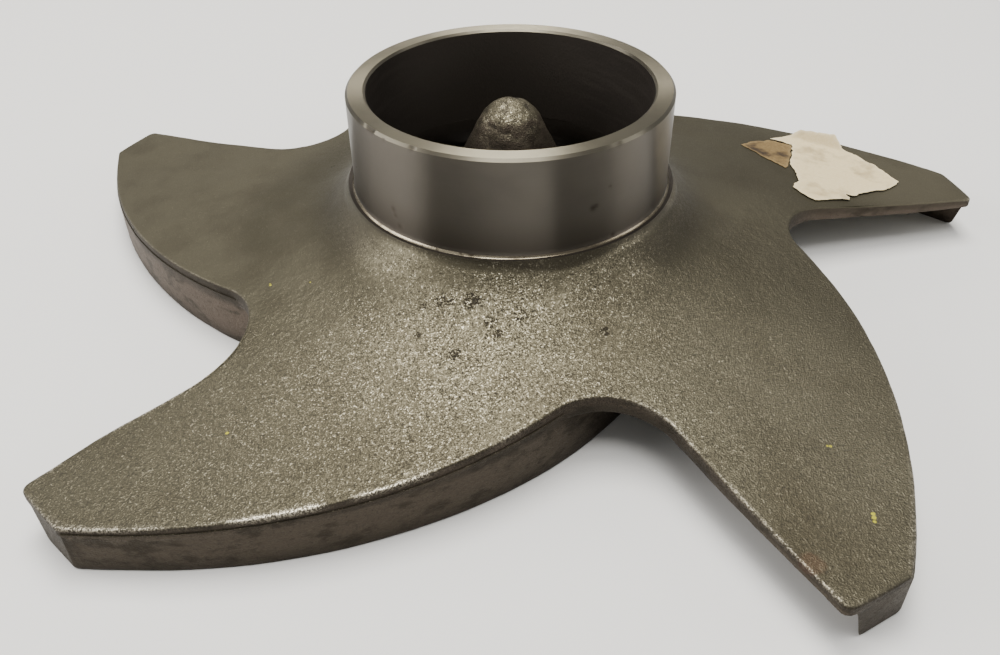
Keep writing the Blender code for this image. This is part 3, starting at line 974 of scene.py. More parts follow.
    def outline(self) -> np.ndarray:
        """The whole outline, counter-clockwise, with the labelled arm on +X, before the hollow."""
        return np.concatenate([turned(self.pitch_outline(), arm * self.pitch) for arm in range(self.arms)])

    def hollowed(self, flat: np.ndarray) -> np.ndarray:
        """Where points of the plate come to lie once one arm's straight edge has its hollow.

        Args:
            flat: Rows of x and y.

        Returns:
            The moved rows.
        """
        radius = np.hypot(flat[:, 0], flat[:, 1])
        angle = np.arctan2(flat[:, 1], flat[:, 0])
        past = (angle - self.hollow_arm * self.pitch + math.pi) % (2 * math.pi) - math.pi
        depth = smooth(radius, self.hollow_start, self.hollow_deepest)
        depth = depth * smooth(radius, self.hollow_end, self.hollow_deepest)
        depth = depth * smooth(past, self.hollow_none, self.hollow_full) * (past > -self.pitch / 4)
        angle = angle + self.hollow_depth * depth / radius
        return np.column_stack([radius * np.cos(angle), radius * np.sin(angle)])


def on_circle(radius: float, angle: float) -> np.ndarray:
    """Point at a radius and an angle."""
    return np.array([radius * math.cos(angle), radius * math.sin(angle)])


def turned(points: np.ndarray, angle: float) -> np.ndarray:
    """Points turned about the axis."""
    c, s = math.cos(angle), math.sin(angle)
    return points @ np.array([[c, s], [-s, c]])


def arc(
    center: np.ndarray, radius: float, start: np.ndarray, end: np.ndarray, count: int
) -> list[np.ndarray]:
    """Points on an arc, the shorter way round.

    Args:
        center: The arc's centre.
        radius: Its radius.
        start: First point, or one beyond it on the same ray.
        end: Last point, or one beyond it on the same ray.
        count: Number of points, both ends included.

    Returns:
        The points in order.
    """
    first = math.atan2(*(start - center)[::-1])
    sweep = (math.atan2(*(end - center)[::-1]) - first + math.pi) % (2 * math.pi) - math.pi
    return [center + on_circle(radius, first + sweep * i / (count - 1)) for i in range(count)]


def rounded(
    before: np.ndarray, corner: np.ndarray, after: np.ndarray, radius: float, count: int
) -> list[np.ndarray]:
    """Arc that takes a corner's place.

    Args:
        before: A point on the way to the corner.
        corner: The corner.
        after: A point on the way from it.
        radius: The arc's radius.
        count: Number of points.

    Returns:
        The arc's points in order.
    """
    ways = [(other - corner) / np.linalg.norm(other - corner) for other in (before, after)]
    half = math.acos(float(ways[0] @ ways[1])) / 2
    middle = (ways[0] + ways[1]) / np.linalg.norm(ways[0] + ways[1])
    center = corner + middle * radius / math.sin(half)
    ends = [corner + way * radius / math.tan(half) for way in ways]
    return arc(center, radius, ends[0], ends[1], count)


def inset(outline: np.ndarray, distance: float) -> np.ndarray:
    """Closed outline moved inwards, square to the line between each point's neighbours.

    Args:
        outline: Rows of x and y, counter-clockwise.
        distance: How far it moves.

    Returns:
        The moved rows.
    """
    along = np.roll(outline, -1, axis=0) - np.roll(outline, 1, axis=0)
    along /= np.linalg.norm(along, axis=1, keepdims=True)
    return outline + distance * np.stack([-along[:, 1], along[:, 0]], axis=1)


# ---- meshes


def mesh_object(name: str, points: np.ndarray, faces: Sequence[Sequence[int]]) -> bpy.types.Object:
    """Object from points and faces, with its normals facing out.

    Args:
        name: The object's name.
        points: Rows of x, y and z.
        faces: Point numbers of each face.

    Returns:
        The object, linked to the scene.
    """
    data = bpy.data.meshes.new(name)
    data.from_pydata(points.tolist(), [], [tuple(map(int, face)) for face in faces])
    mesh = bmesh.new()
    mesh.from_mesh(data)
    bmesh.ops.recalc_face_normals(mesh, faces=mesh.faces[:])
    mesh.to_mesh(data)
    mesh.free()
    made = bpy.data.objects.new(name, data)
    bpy.context.scene.collection.objects.link(made)
    return made


def ring_solid(name: str, rings: np.ndarray) -> bpy.types.Object:
    """Closed solid whose skin runs through rings of points and back to the first ring.

    Args:
        name: The object's name.
        rings: Array of rings, points and coordinates.

    Returns:
        The object.
    """
    rows, count = rings.shape[:2]
    row, column = np.meshgrid(np.arange(rows), np.arange(count), indexing="ij")
    down, right = (row + 1) % rows, (column + 1) % count
    corners = [row * count + column, down * count + column, down * count + right, row * count + right]
    faces = np.stack(corners, axis=-1)
    return mesh_object(name, rings.reshape(-1, 3), faces.reshape(-1, 4))


def tube_solid(name: str, loops: np.ndarray) -> bpy.types.Object:
    """Closed solid through loops of points, with a face over the first and the last.

    Args:
        name: The object's name.
        loops: Array of loops, points and coordinates.

    Returns:
        The object.
    """
    rows, count = loops.shape[:2]
    faces: list[Sequence[int]] = []
    for k in range(rows - 1):
        for i in range(count):
            j = (i + 1) % count
            faces.append((k * count + i, k * count + j, (k + 1) * count + j, (k + 1) * count + i))
    faces += [range(count), range((rows - 1) * count, rows * count)]
    return mesh_object(name, loops.reshape(-1, 3), faces)


def lathe_solid(name: str, section: Sequence[Point], sides: int) -> bpy.types.Object:
    """Closed solid of revolution from points that start and end on the axis.

    Args:
        name: The object's name.
        section: Radius and Z of each point.
        sides: Number of points round the axis.

    Returns:
        The object.
    """
    angles = 2 * math.pi * np.arange(sides) / sides
    unit = np.stack([np.cos(angles), np.sin(angles)], axis=1)
    rings = [np.column_stack([r * unit, np.full(sides, z)]) for r, z in section[1:-1]]
    points = np.concatenate([[(0.0, 0.0, section[0][1]), (0.0, 0.0, section[-1][1])], *rings])
    faces: list[Sequence[int]] = []
    last = 2 + (len(rings) - 1) * sides
    for i in range(sides):
        j = (i + 1) % sides
        faces.append((0, 2 + i, 2 + j))
        faces.append((1, last + j, last + i))
        for k in range(len(rings) - 1):
            low, high = 2 + k * sides, 2 + (k + 1) * sides
            faces.append((low + i, high + i, high + j, low + j))
    return mesh_object(name, points, faces)


def nearest(points: np.ndarray, others: np.ndarray) -> np.ndarray:
    """Distance from each point to the nearest of some others."""
    return np.linalg.norm(points[:, None] - others[None], axis=2).min(axis=1)


def thickened(faces: Sequence[Sequence[int]], count: int) -> list[tuple[int, ...]]:
    """Faces of a sheet's two sides and of its rim.

    Args:
        faces: The lower side's faces.
        count: Number of points of one side. The upper side's points follow the lower side's.

    Returns:
        The closed sheet's faces.
    """
    solid = [tuple(face[::-1]) for face in faces]
    solid += [tuple(i + count for i in face) for face in faces]
    sides = {pair: None for face in faces for pair in zip(face, (*face[1:], face[0]))}
    solid += [(a, b, b + count, a + count) for a, b in sides if (b, a) not in sides]
    return solid


def baked(target: bpy.types.Object) -> None:
    """Replace an object's mesh by what its modifiers make of it."""
    graph = bpy.context.evaluated_depsgraph_get()
    data = bpy.data.meshes.new_from_object(target.evaluated_get(graph))
    target.modifiers.clear()
    target.data = data


def combine(target: bpy.types.Object, tool: bpy.types.Object, how: Join) -> None:
    """Join a tool to a target, or cut it away, and remove the tool.

    Args:
        target: The object that changes.
        tool: The object that is used up.
        how: The way to combine them.
    """
    step = target.modifiers.new("join", "BOOLEAN")
    step.operation = how.value
    step.solver = "MANIFOLD"
    step.object = tool
    baked(target)
    bpy.data.objects.remove(tool, do_unlink=True)


def rows_of(source: bpy.types.bpy_prop_collection, key: str) -> np.ndarray:
    """Rows of three numbers that each item of a mesh's collection holds.

    Args:
        source: The mesh's points, normals or faces.
        key: What is read of each.

    Returns:
        The rows.
    """
    flat = np.empty(3 * len(source))
    source.foreach_get(key, flat)
    return flat.reshape(-1, 3)


def put_points(target: bpy.types.Object, points: np.ndarray) -> None:
    """Move an object's points."""
    target.data.vertices.foreach_set("co", points.ravel())
    target.data.update()


def put_mask(target: bpy.types.Object, mask: Mask, values: np.ndarray) -> None:
    """Give an object's points a mask, one number from 0 to 1 for each."""
    layer = target.data.attributes.new(mask.value, "FLOAT", "POINT")
    layer.data.foreach_set("value", np.clip(values, 0.0, 1.0).astype(np.float32))


def soften(target: bpy.types.Object, sharp: float) -> None:
    """Shade an object smoothly, except at edges above an angle in degrees."""
    target.data.shade_smooth()
    target.data.set_sharp_from_angle(angle=math.radians(sharp))


# ---- sub-assemblies


@dataclass
class SkinPoints:
    """Points of the casting's skin, and where each lies on it.

    Attributes:
        away: Distance to the star's outline, seen from above.
        below_top: Depth under the plate's upper face.
        front: Distance from the axis towards the camera.
        outside: Whether the point is outside the eye and the neck.
        upper: Whether it is on the plate's upper face.
    """

    shape: StarShape
    places: np.ndarray
    normals: np.ndarray
    outline_parts: int = 4
    plate_start: float = 51.0 * MM
    upper_part: float = 0.6
    near_way: Point = (-0.242, -0.970)
    x: np.ndarray = field(init=False)
    y: np.ndarray = field(init=False)
    radius: np.ndarray = field(init=False)
    height: np.ndarray = field(init=False)
    away: np.ndarray = field(init=False)
    below_top: np.ndarray = field(init=False)
    front: np.ndarray = field(init=False)
    outside: np.ndarray = field(init=False)
    upper: np.ndarray = field(init=False)

    def __post_init__(self) -> None:
        """Work out where the points lie."""
        shape = self.shape
        self.x, self.y = self.places[:, 0], self.places[:, 1]
        self.radius = np.hypot(self.x, self.y)
        self.height = self.places[:, 2] + shape.bore_depth
        self.away = self.to_outline()
        self.below_top = shape.top(self.radius) - self.height
        self.front = self.near_way[0] * self.x + self.near_way[1] * self.y
        self.outside = self.radius > self.plate_start
        lowest = shape.crown(self.radius) - self.upper_part * shape.thickness(self.radius)
        self.upper = self.outside & (self.height > lowest)

    def to_outline(self) -> np.ndarray:
        """Distance from each point to the star's outline, seen from above."""
        outline = self.shape.hollowed(self.shape.outline())
        ahead = np.roll(outline, -1, axis=0) - outline
        parts = self.outline_parts
        fine = np.concatenate([outline + ahead * (part / parts) for part in range(parts)])
        tree = KDTree(len(fine))
        for index, (x, y) in enumerate(fine):
            tree.insert((x, y, 0.0), index)
        tree.balance()
        return np.array([tree.find((x, y, 0.0))[2] for x, y, _ in self.places])


@dataclass(frozen=True)
class Wear:
    """Lumps of the cast faces, and where the casting is worn, soiled and dusty, and where it has painted highlight
    and painted shade.

    Patches are in millimetres. A span whose name ends in _x, _y, _radius, _height, _depth or _front is one of that
    measure of a point. A field that ends in _share is how strong something is where it is full.
    """

    cast_lumps: tuple[Layer, ...] = ((3, 24 * MM, 0.24 * MM), (4, 8 * MM, 0.10 * MM), (5, 2.6 * MM, 0.045 * MM))
    crust: tuple[Layer, ...] = ((13, 2.4 * MM, 0.7), (14, 1.3 * MM, 0.3))
    crust_lump: float = 0.26 * MM
    tip_flatness: float = 0.8
    tip_margin: Span = (1.2 * MM, 0.5 * MM)
    axis_guard: float = 0.001 * MM

    machined_radius: Span = (54.2 * MM, 52.6 * MM)
    back_plane: float = 0.15 * MM
    bore_reach: float = 15 * MM
    bore_top: float = 38.2 * MM

    # Edges: bare metal, and a painted highlight on the near edges.
    edge_in: float = 0.35 * MM
    edge_width: float = 0.55 * MM
    edge_depth: float = 0.6 * MM
    edge_variation: tuple[Layer, ...] = ((6, 6 * MM, 0.6),)
    edge_gaps: tuple[Layer, ...] = ((7, 9 * MM, 1.0),)
    edge_gap_span: Span = (-0.45, 0.15)
    near_y: Span = (-30 * MM, -65 * MM)
    arm_radius: Span = (93 * MM, 104 * MM)
    far_share: float = 0.06
    right_x: Span = (5 * MM, 25 * MM)
    right_fade: float = 0.72
    end_radius: Span = (161.5 * MM, 163.5 * MM)
    end_fade: float = 0.8
    chips: tuple[Patch, ...] = ((164.0, -9.0, 3.5),)
    chip_share: float = 0.8
    scrapes: tuple[Patch, ...] = ((-119.0, -105.0, 11.0),)
    scrape_share: float = 0.9

    calm_y: Span = (-75 * MM, 0.0)
    calm_wander: tuple[Layer, ...] = ((8, 30 * MM, 20 * MM),)
    calm_depth: Span = (1.5 * MM, 4 * MM)
    calm_wall_share: float = 0.8
    eye_reach: float = 44 * MM
    eye_calm: float = 0.1

    # Painted highlight patch on the near side of the plate.
    rub_center: Point = (-22 * MM, -78 * MM)
    rub_left: float = 57 * MM
    rub_right: float = 42 * MM
    rub_along: float = 42 * MM
    # Ring round the neck's foot: painted light over the neck's shadow.
    ring: Hump = (57 * MM, 5.5 * MM)
    ring_share: float = 1.2
    ring_front: Span = (32 * MM, 50 * MM)
    wall_start: float = 70 * MM
    left_wall_x: Span = (-70 * MM, -90 * MM)
    left_wall_y: Span = (-55 * MM, -30 * MM)
    right_wall_x: Span = (90 * MM, 105 * MM)
    right_wall_share: float = 0.7
    nose_reach: float = 40 * MM
    nose_height: Span = (44 * MM, 54 * MM)
    worn_nose_height: Span = (50 * MM, 62 * MM)
    worn_nose_share: float = 0.74

    dust_start: float = 70 * MM
    dust_start_right: float = 42 * MM
    dust_start_x: Span = (-50 * MM, 50 * MM)
    dust_rise: Span = (0.0, 30 * MM)
    dust_y: Span = (-75 * MM, 5 * MM)
    dust_patches: tuple[Patch, ...] = (
        (64.0, -98.0, 26.0), (66.0, -123.0, 20.0), (-66.0, -24.0, 26.0), (-66.0, 8.0, 22.0), (66.0, -14.0, 22.0),
    )
    dust_patch_share: float = 0.60
    grease_patches: tuple[Patch, ...] = (
        (-60.0, -97.0, 22.0), (-36.0, -99.0, 13.0), (-10.0, -89.0, 12.0), (13.0, -74.0, 12.0),
        (40.0, -142.0, 19.0),
    )
    skirt_radius: Span = (70 * MM, 60 * MM)
    upper_pores: float = 0.25
    other_pores: float = 0.5

    # Painted shade inside the eye.
    neck_reach: float = 52 * MM
    eye_shade_height: Span = (58 * MM, 40 * MM)
    eye_shade_share: float = 0.55
    # Painted shade at the neck's foot: a dark line round it, and a ring at the sides that darkens a sheen.
    foot_radius: Span = (52.5 * MM, 51.9 * MM)
    foot_bulge: float = 1.3 * MM
    foot_bulge_x: Hump = (5 * MM, 14 * MM)
    foot_shade_share: float = 0.75
    side_ring: Hump = (56 * MM, 6.5 * MM)
    side_ring_front: Span = (47 * MM, 30 * MM)
    side_ring_share: float = 0.75
    # Painted shade on the plate's edge, under its rounded top.
    ledge_depth: Span = (-0.05 * MM, 0.30 * MM)
    ledge_end: Span = (0.6 * MM, -0.1 * MM)
    ledge_radius: Span = (108 * MM, 150 * MM)
    ledge_thinning: float = 0.5
    ledge_reach: float = 0.6 * MM
    ledge_plain: float = 0.85
    ledge_variation: tuple[Layer, ...] = ((9, 5 * MM, 0.15),)
    ledge_share: float = 0.88
    hole_span: Span = (-0.22, -0.42)
    hole_share: float = 0.9
    # Painted contact shadow low on the walls, near the floor.
    contact_shade_height: Span = (6 * MM, 0.5 * MM)
    contact_shade_share: float = 0.6
    # Painted shade on the tips' end faces.
    end_width: float = 0.9 * MM
    end_depth: Span = (0.0, 0.8 * MM)
    end_shade: float = 0.55

    def lumpy(self, at: SkinPoints) -> np.ndarray:
        """Where the points come to lie once the cast faces have their lumps.

        Args:
            at: The skin's points.

        Returns:
            Rows of x, y and z, inside the solids' box.
        """
        shape = at.shape
        tip_land = smooth(at.radius, *(shape.tip_radius - margin for margin in self.tip_margin))
        lumps = layered(at.places, self.cast_lumps)
        lumps += self.crust_lump * layered(at.places, self.crust) * self.on_nose(at)
        lumps *= (1 - self.machined(at)) * (1 - self.tip_flatness * tip_land)
        moved = at.places + at.normals * lumps[:, None]
        moved[:, 2] = np.maximum(moved[:, 2], shape.level(0.0))
        reach = np.maximum(np.hypot(moved[:, 0], moved[:, 1]), self.axis_guard)
        moved[:, :2] *= np.minimum(1.0, shape.tip_radius / reach)[:, None]
        return np.clip(moved, *(np.array(corner) for corner in CAD_BOX))

    def on_nose(self, at: SkinPoints) -> np.ndarray:
        """Share of the nose's crust."""
        return (at.radius < self.nose_reach) * smooth(at.height, *self.nose_height)

    def machined(self, at: SkinPoints) -> np.ndarray:
        """Turned faces: the foot's ring, the vanes' back edges and the bore."""
        flat = (at.height < self.back_plane) | ((at.radius < self.bore_reach) & (at.height < self.bore_top))
        return np.maximum(at.upper * smooth(at.radius, *self.machined_radius), flat)

    def edges(self, at: SkinPoints) -> np.ndarray:
        """Edges rubbed bright, which also carry a painted highlight: mostly the near ones, a chipped tip and one
        scraped stretch.

        Args:
            at: The skin's points.

        Returns:
            The mask at each point.
        """
        width = self.edge_width * (1 + layered(at.places, self.edge_variation))
        edge = bell(at.away, self.edge_in, width) * bell(np.maximum(at.below_top, 0), 0.0, self.edge_depth)
        scraped = self.scrape_share * edge * patches(at.places, self.scrapes)
        edge = edge * smooth(layered(at.places, self.edge_gaps), *self.edge_gap_span)
        near = smooth(at.y, *self.near_y) * smooth(at.radius, *self.arm_radius)
        share = self.far_share + (1 - self.far_share) * near
        share = share * (1 - self.right_fade * smooth(at.x, *self.right_x))
        share = share * (1 - self.end_fade * smooth(at.radius, *self.end_radius))
        share = np.maximum(share, self.chip_share * patches(at.places, self.chips))
        return at.upper * np.maximum(edge * share, scraped)

    def calm(self, at: SkinPoints) -> np.ndarray:
        """Faces with a faint grain: the far side of the plate and the walls.

        Args:
            at: The skin's points.

        Returns:
            The mask at each point.
        """
        far = smooth(at.y + layered(at.places, self.calm_wander), *self.calm_y)
        walls = self.calm_wall_share * smooth(at.below_top, *self.calm_depth)
        return np.where(at.radius < self.eye_reach, self.eye_calm, np.maximum(far, walls))

    def burnished(self, at: SkinPoints) -> np.ndarray:
        """Faces made lighter, partly burnished and partly painted highlight: the near side of the plate, the ring
        round the neck, two walls and the nose.

        Args:
            at: The skin's points.

        Returns:
            The mask at each point.
        """
        across = (at.x - self.rub_center[0]) / np.where(at.x > self.rub_center[0], self.rub_right, self.rub_left)
        along = (at.y - self.rub_center[1]) / self.rub_along
        rubbed = np.exp(-(across ** 2 + along ** 2))
        ring = self.ring_share * bell(at.radius, *self.ring) * smooth(at.front, *self.ring_front)
        left_wall = smooth(at.x, *self.left_wall_x) * smooth(at.y, *self.left_wall_y)
        right_wall = self.right_wall_share * smooth(at.x, *self.right_wall_x)
        pale = (at.radius > self.wall_start) * np.maximum(left_wall, right_wall)
        nose = (at.radius < self.nose_reach) * smooth(at.height, *self.worn_nose_height)
        return np.where(at.upper, np.maximum(rubbed, ring), self.worn_nose_share * nose + pale)

    def dusty(self, at: SkinPoints) -> np.ndarray:
        """Pale dust on the plate's far side and in a few patches.

        Args:
            at: The skin's points.

        Returns:
            The mask at each point.
        """
        start = self.dust_start + self.dust_start_right * smooth(at.x, *self.dust_start_x)
        dust = smooth(at.y, *self.dust_y) * smooth(at.radius - start, *self.dust_rise)
        return np.maximum(dust, self.dust_patch_share * patches(at.places, self.dust_patches))

    def foot(self, at: SkinPoints) -> np.ndarray:
        """Painted shade at the foot of the neck, wider in front and at both sides.

        Args:
            at: The skin's points.

        Returns:
            The mask at each point.
        """
        bulge = self.foot_bulge * bell(at.x, *self.foot_bulge_x) * (at.y < 0)
        line = smooth(at.radius - bulge, *self.foot_radius)
        sides = bell(at.radius, *self.side_ring) * smooth(at.front, *self.side_ring_front)
        return at.upper * self.foot_shade_share * np.maximum(line, self.side_ring_share * sides)

    def ledge(self, at: SkinPoints) -> np.ndarray:
        """Painted shade on the plate's own edge, above the vane's wall.

        Args:
            at: The skin's points.

        Returns:
            The mask at each point.
        """
        lower = at.shape.thickness(at.radius) * (1 - self.ledge_thinning * smooth(at.radius, *self.ledge_radius))
        line = smooth(at.below_top, *self.ledge_depth) * smooth(at.below_top - lower, *self.ledge_end)
        uneven = self.ledge_plain + layered(at.places, self.ledge_variation)
        left = 1 - smooth(at.x, *self.right_wall_x)
        return self.ledge_share * line * (at.away < self.ledge_reach) * uneven * left

    def soiled(self, at: SkinPoints) -> np.ndarray:
        """Dirt in the nose's holes, and painted shade inside the neck, at its foot, under the plate's edge, low
        down and on the tips.

        Args:
            at: The skin's points.

        Returns:
            The mask at each point.
        """
        inside = (at.radius < self.neck_reach) * smooth(at.height, *self.eye_shade_height)
        holes = self.on_nose(at) * smooth(layered(at.places, self.crust), *self.hole_span)
        contact_shaded = (at.outside & ~at.upper) * smooth(at.height, *self.contact_shade_height)
        ends = (at.radius > at.shape.tip_radius - self.end_width) * smooth(at.below_top, *self.end_depth)
        dirt = [self.eye_shade_share * inside, self.foot(at), self.ledge(at), self.hole_share * holes,
                self.contact_shade_share * contact_shaded, self.end_shade * ends]
        return np.max(dirt, axis=0)

    def masks(self, at: SkinPoints) -> dict[Mask, np.ndarray]:
        """Every mask of the skin, with a value for each point."""
        return {
            Mask.EDGE: self.edges(at),
            Mask.CALM: self.calm(at),
            Mask.BURNISH_AND_HIGHLIGHT: self.burnished(at),
            Mask.MACHINED: self.machined(at),
            Mask.DUSTY: self.dusty(at),
            Mask.GREASY: at.upper * patches(at.places, self.grease_patches),
            Mask.SKIRT: at.upper * smooth(at.radius, *self.skirt_radius),
            Mask.PITTED: np.where(at.upper, self.upper_pores, self.other_pores),
            Mask.DIRT_AND_SHADE: self.soiled(at),
        }


@dataclass
class Casting:
    """The star plate with its vanes, hub and nose, up to the foot of the turned neck.

    Attributes:
        lower_bevel: Bevel under the plate's edge, as a share of edge_round.
        foot_rings: First radius, end and step of the rings close to the neck, in millimetres.
        skirt_rings: The same of the rings beyond them.
        fillet_turns: Shares of a quarter turn at which the vane's fillet has points.
        back_turns: The same of the round at the vane's back edge.
    """

    shape: StarShape = field(default_factory=StarShape)
    wear: Wear = field(default_factory=Wear)
    eye_radius: float = 43.7 * MM
    throat_top: float = 37.0 * MM
    throat_radius: float = 61.0 * MM
    edge_round: float = 0.65 * MM
    edge_lead: float = 0.3 * MM
    lower_bevel: float = 0.5
    lower_bevel_middle: float = 0.15
    edge_walls: tuple[float, ...] = (0.33, 0.66)
    throat_rings: int = 12
    foot_rings: tuple[float, float, float] = (51.95, 54.0, 0.25)
    skirt_rings: tuple[float, float, float] = (54.5, 64.6, 0.95)
    face_rings: int = 47
    face_grading: float = 0.25
    edge_rings: int = 5
    under_rings: int = 24
    vane_thickness: float = 7.3 * MM
    vane_proud: float = 0.35 * MM
    vane_sink: float = 0.45
    vane_stations: int = 100
    wall_steps: int = 14
    inner_steps: int = 10
    root_fillet: float = 2.5 * MM
    root_top: float = 21.0 * MM
    fillet_sink: float = 0.3 * MM
    fillet_turns: tuple[float, ...] = (0.35, 0.7, 1.0)
    back_round: float = 0.8 * MM
    back_turns: tuple[float, ...] = (0.5, 0.8, 1.0)
    back_cut: float = 0.3
    tip_gap: float = 0.2 * MM
    tip_round: float = 0.9 * MM
    tip_stations: int = 5
    brace_start: float = 145.0 * MM
    brace_lean: float = 1.7 * MM
    brace_fillet: float = 1.2 * MM
    nose_top: float = 63.0 * MM
    nose_ball: float = 10.5 * MM
    nose_flank: float = math.radians(27.2)
    nose_rows: int = 20
    flank_rows: int = 24
    flank_grading: float = 1.5
    hub_neck_radius: float = 27.0 * MM
    hub_radius: float = 31.0 * MM
    hub_shoulder: float = 12.0 * MM
    hub_lean: float = 1.0 * MM
    hub_round: float = 0.3 * MM
    hub_rows: int = 8
    hub_sides: int = 150
    hub_ring: float = 2.5 * MM
    bore_radius: float = 12.5 * MM
    bore_chamfer: float = 1.5 * MM
    bore_overcut: float = 2.0 * MM
    bore_sides: int = 96
    eye_skin_radius: Span = (43.0 * MM, 60.5 * MM)
    eye_skin_bottom: float = 24.0 * MM
    eye_skin_gap: float = 1.0 * MM
    side_slack: float = 0.2 * MM
    end_slack: float = 0.1 * MM
    back_slack: float = 0.05 * MM
    sharp_angle: float = 38.0

    def fan(self, outline: np.ndarray) -> np.ndarray:
        """Angle on the neck's circles of the line that runs out to each point of the outline.

        Args:
            outline: Rows of x and y.

        Returns:
            The angles in radians.
        """
        even = 2 * math.pi * np.arange(len(outline)) / len(outline)
        own = np.arctan2(outline[:, 1], outline[:, 0])
        away = (own - even + math.pi) % (2 * math.pi) - math.pi
        return even + self.shape.fan_follow * away

    def plate(self) -> bpy.types.Object:
        """The star plate with its skirt and throat, as one closed skin."""
        shape, edge = self.shape, self.edge_round
        outline = shape.outline()
        angles = self.fan(outline)
        unit = np.stack([np.cos(angles), np.sin(angles)], axis=1)
        circle = unit * shape.fan_radius
        rings: list[np.ndarray] = []

        def lay(flat: np.ndarray, height: np.ndarray | float) -> None:
            """Add one ring at a height."""
            rings.append(np.column_stack([flat, np.broadcast_to(shape.level(height), len(flat))]))

        def face(share: float, distance: float, height: Callable[[np.ndarray], np.ndarray]) -> None:
            """Add one ring between the fan circle and the moved outline."""
            flat = shape.hollowed(circle + (inset(outline, distance) - circle) * share)
            lay(flat, height(np.hypot(flat[:, 0], flat[:, 1])))

        throat_floor = float(shape.bottom(self.throat_radius))
        for angle in np.linspace(math.pi / 2, 0.0, self.throat_rings):
            radius = self.throat_radius - (self.throat_radius - self.eye_radius) * math.cos(angle)
            lay(unit * radius, self.throat_top - (self.throat_top - throat_floor) * math.sin(angle))
        close, wide = np.arange(*self.foot_rings) * MM, np.arange(*self.skirt_rings) * MM
        for radius in (shape.foot_radius, *close, *wide):
            lay(unit * radius, float(shape.top(radius)))
        for share in np.linspace(0.0, 1.0, self.face_rings)[:-1]:
            face(share * (1 + self.face_grading - self.face_grading * share), edge, shape.top)
        for distance in (edge + self.edge_lead, edge):
            face(1.0, distance, shape.top)
        for angle in np.linspace(0.0, math.pi / 2, self.edge_rings)[1:]:
            drop = edge * (1 - math.cos(angle))
            face(1.0, edge * (1 - math.sin(angle)), lambda r, drop=drop: shape.top(r) - drop)
        lower, middle = self.lower_bevel * edge, self.lower_bevel_middle * edge
        for share in self.edge_walls:
            face(1.0, 0.0, lambda r, share=share: shape.top(r) - edge
                 - share * (shape.thickness(r) - edge - lower))
        face(1.0, 0.0, lambda r: shape.bottom(r) + lower)
        face(1.0, middle, lambda r: shape.bottom(r) + middle)
        for share in np.linspace(1.0, 0.0, self.under_rings):
            face(share, lower, shape.bottom)
        return ring_solid("impeller_casting_skin", np.array(rings))

    def vane_top(self, radius: float) -> float:
        """Height of a vane's top, buried in the plate and falling to the hub inside the eye.

        Args:
            radius: A place along the vane.

        Returns:
            The height.
        """
        shape = self.shape
        buried_at = max(radius, self.throat_radius)
        buried = float(shape.bottom(buried_at) + self.vane_sink * shape.thickness(buried_at))
        if radius >= self.throat_radius:
            return buried
        share = float(smooth(radius, shape.root_radius, self.throat_radius))
        return self.root_top + (buried - self.root_top) * share

    def vane_section(self, radius: float, lift: float) -> list[Point]:
        """Section of a vane on the circle of a radius.

        Args:
            radius: The circle's radius.
            lift: How far the back edge is raised, to round the corner at the tip.

        Returns:
            Turn past the convex wall's spiral, and height, of each point.
        """
        slant = radius * math.sin(float(self.shape.vane_angle(radius)))
        brace = float(smooth(radius, self.brace_start, self.shape.tip_radius))
        fillet = self.root_fillet + (self.brace_fillet - self.root_fillet) * brace
        proud, inner = self.vane_proud / slant, -self.vane_thickness / slant
        lean = -self.brace_lean * brace / slant
        flare, back = fillet / slant, self.back_round / slant
        top, low = self.vane_top(radius), self.back_round + lift
        section = [(proud, top + (low - top) * i / self.wall_steps) for i in range(self.wall_steps + 1)]
        for turn in self.back_turns:
            rise = self.back_round * (1 - math.sin(turn * math.pi / 2))
            section.append((proud - back * turn * turn, lift + rise))
        section += [(inner + back, lift), (inner + self.back_cut * back, lift + self.back_cut * self.back_round)]
        wall_foot = min(float(self.shape.bottom(radius)) + self.fillet_sink, top) - fillet
        for i in range(self.inner_steps + 1):
            share = i / self.inner_steps
            section.append((inner + lean * share, low + (wall_foot - low) * share))
        for turn in self.fillet_turns:
            angle = turn * math.pi / 2
            section.append((inner + lean - flare * (1 - math.cos(angle)), wall_foot + fillet * math.sin(angle)))
        section.append((inner + lean - flare, top))
        return section

    def vane(self, arm: int) -> bpy.types.Object:
        """One vane, from inside the hub to the tip circle.

        Args:
            arm: The arm's number.

        Returns:
            The vane's object.
        """
        shape = self.shape
        end = shape.tip_radius - self.tip_gap
        radii = np.geomspace(shape.root_radius, end - self.tip_round, self.vane_stations)
        stations = [(float(radius), 0.0) for radius in radii]
        for angle in np.linspace(0.0, math.pi / 2, self.tip_stations)[1:]:
            drawn, lift = self.tip_round * (1 - math.sin(angle)), self.tip_round * (1 - math.cos(angle))
            stations.append((end - drawn, lift))
        loops = []
        for radius, lift in stations:
            base = arm * shape.pitch + shape.tip_land / 2 + float(shape.spiral(radius))
            loops.append([(*on_circle(radius, base + turn), shape.level(height))
                          for turn, height in self.vane_section(radius, lift)])
        return tube_solid(f"vane_{arm}", np.array(loops))

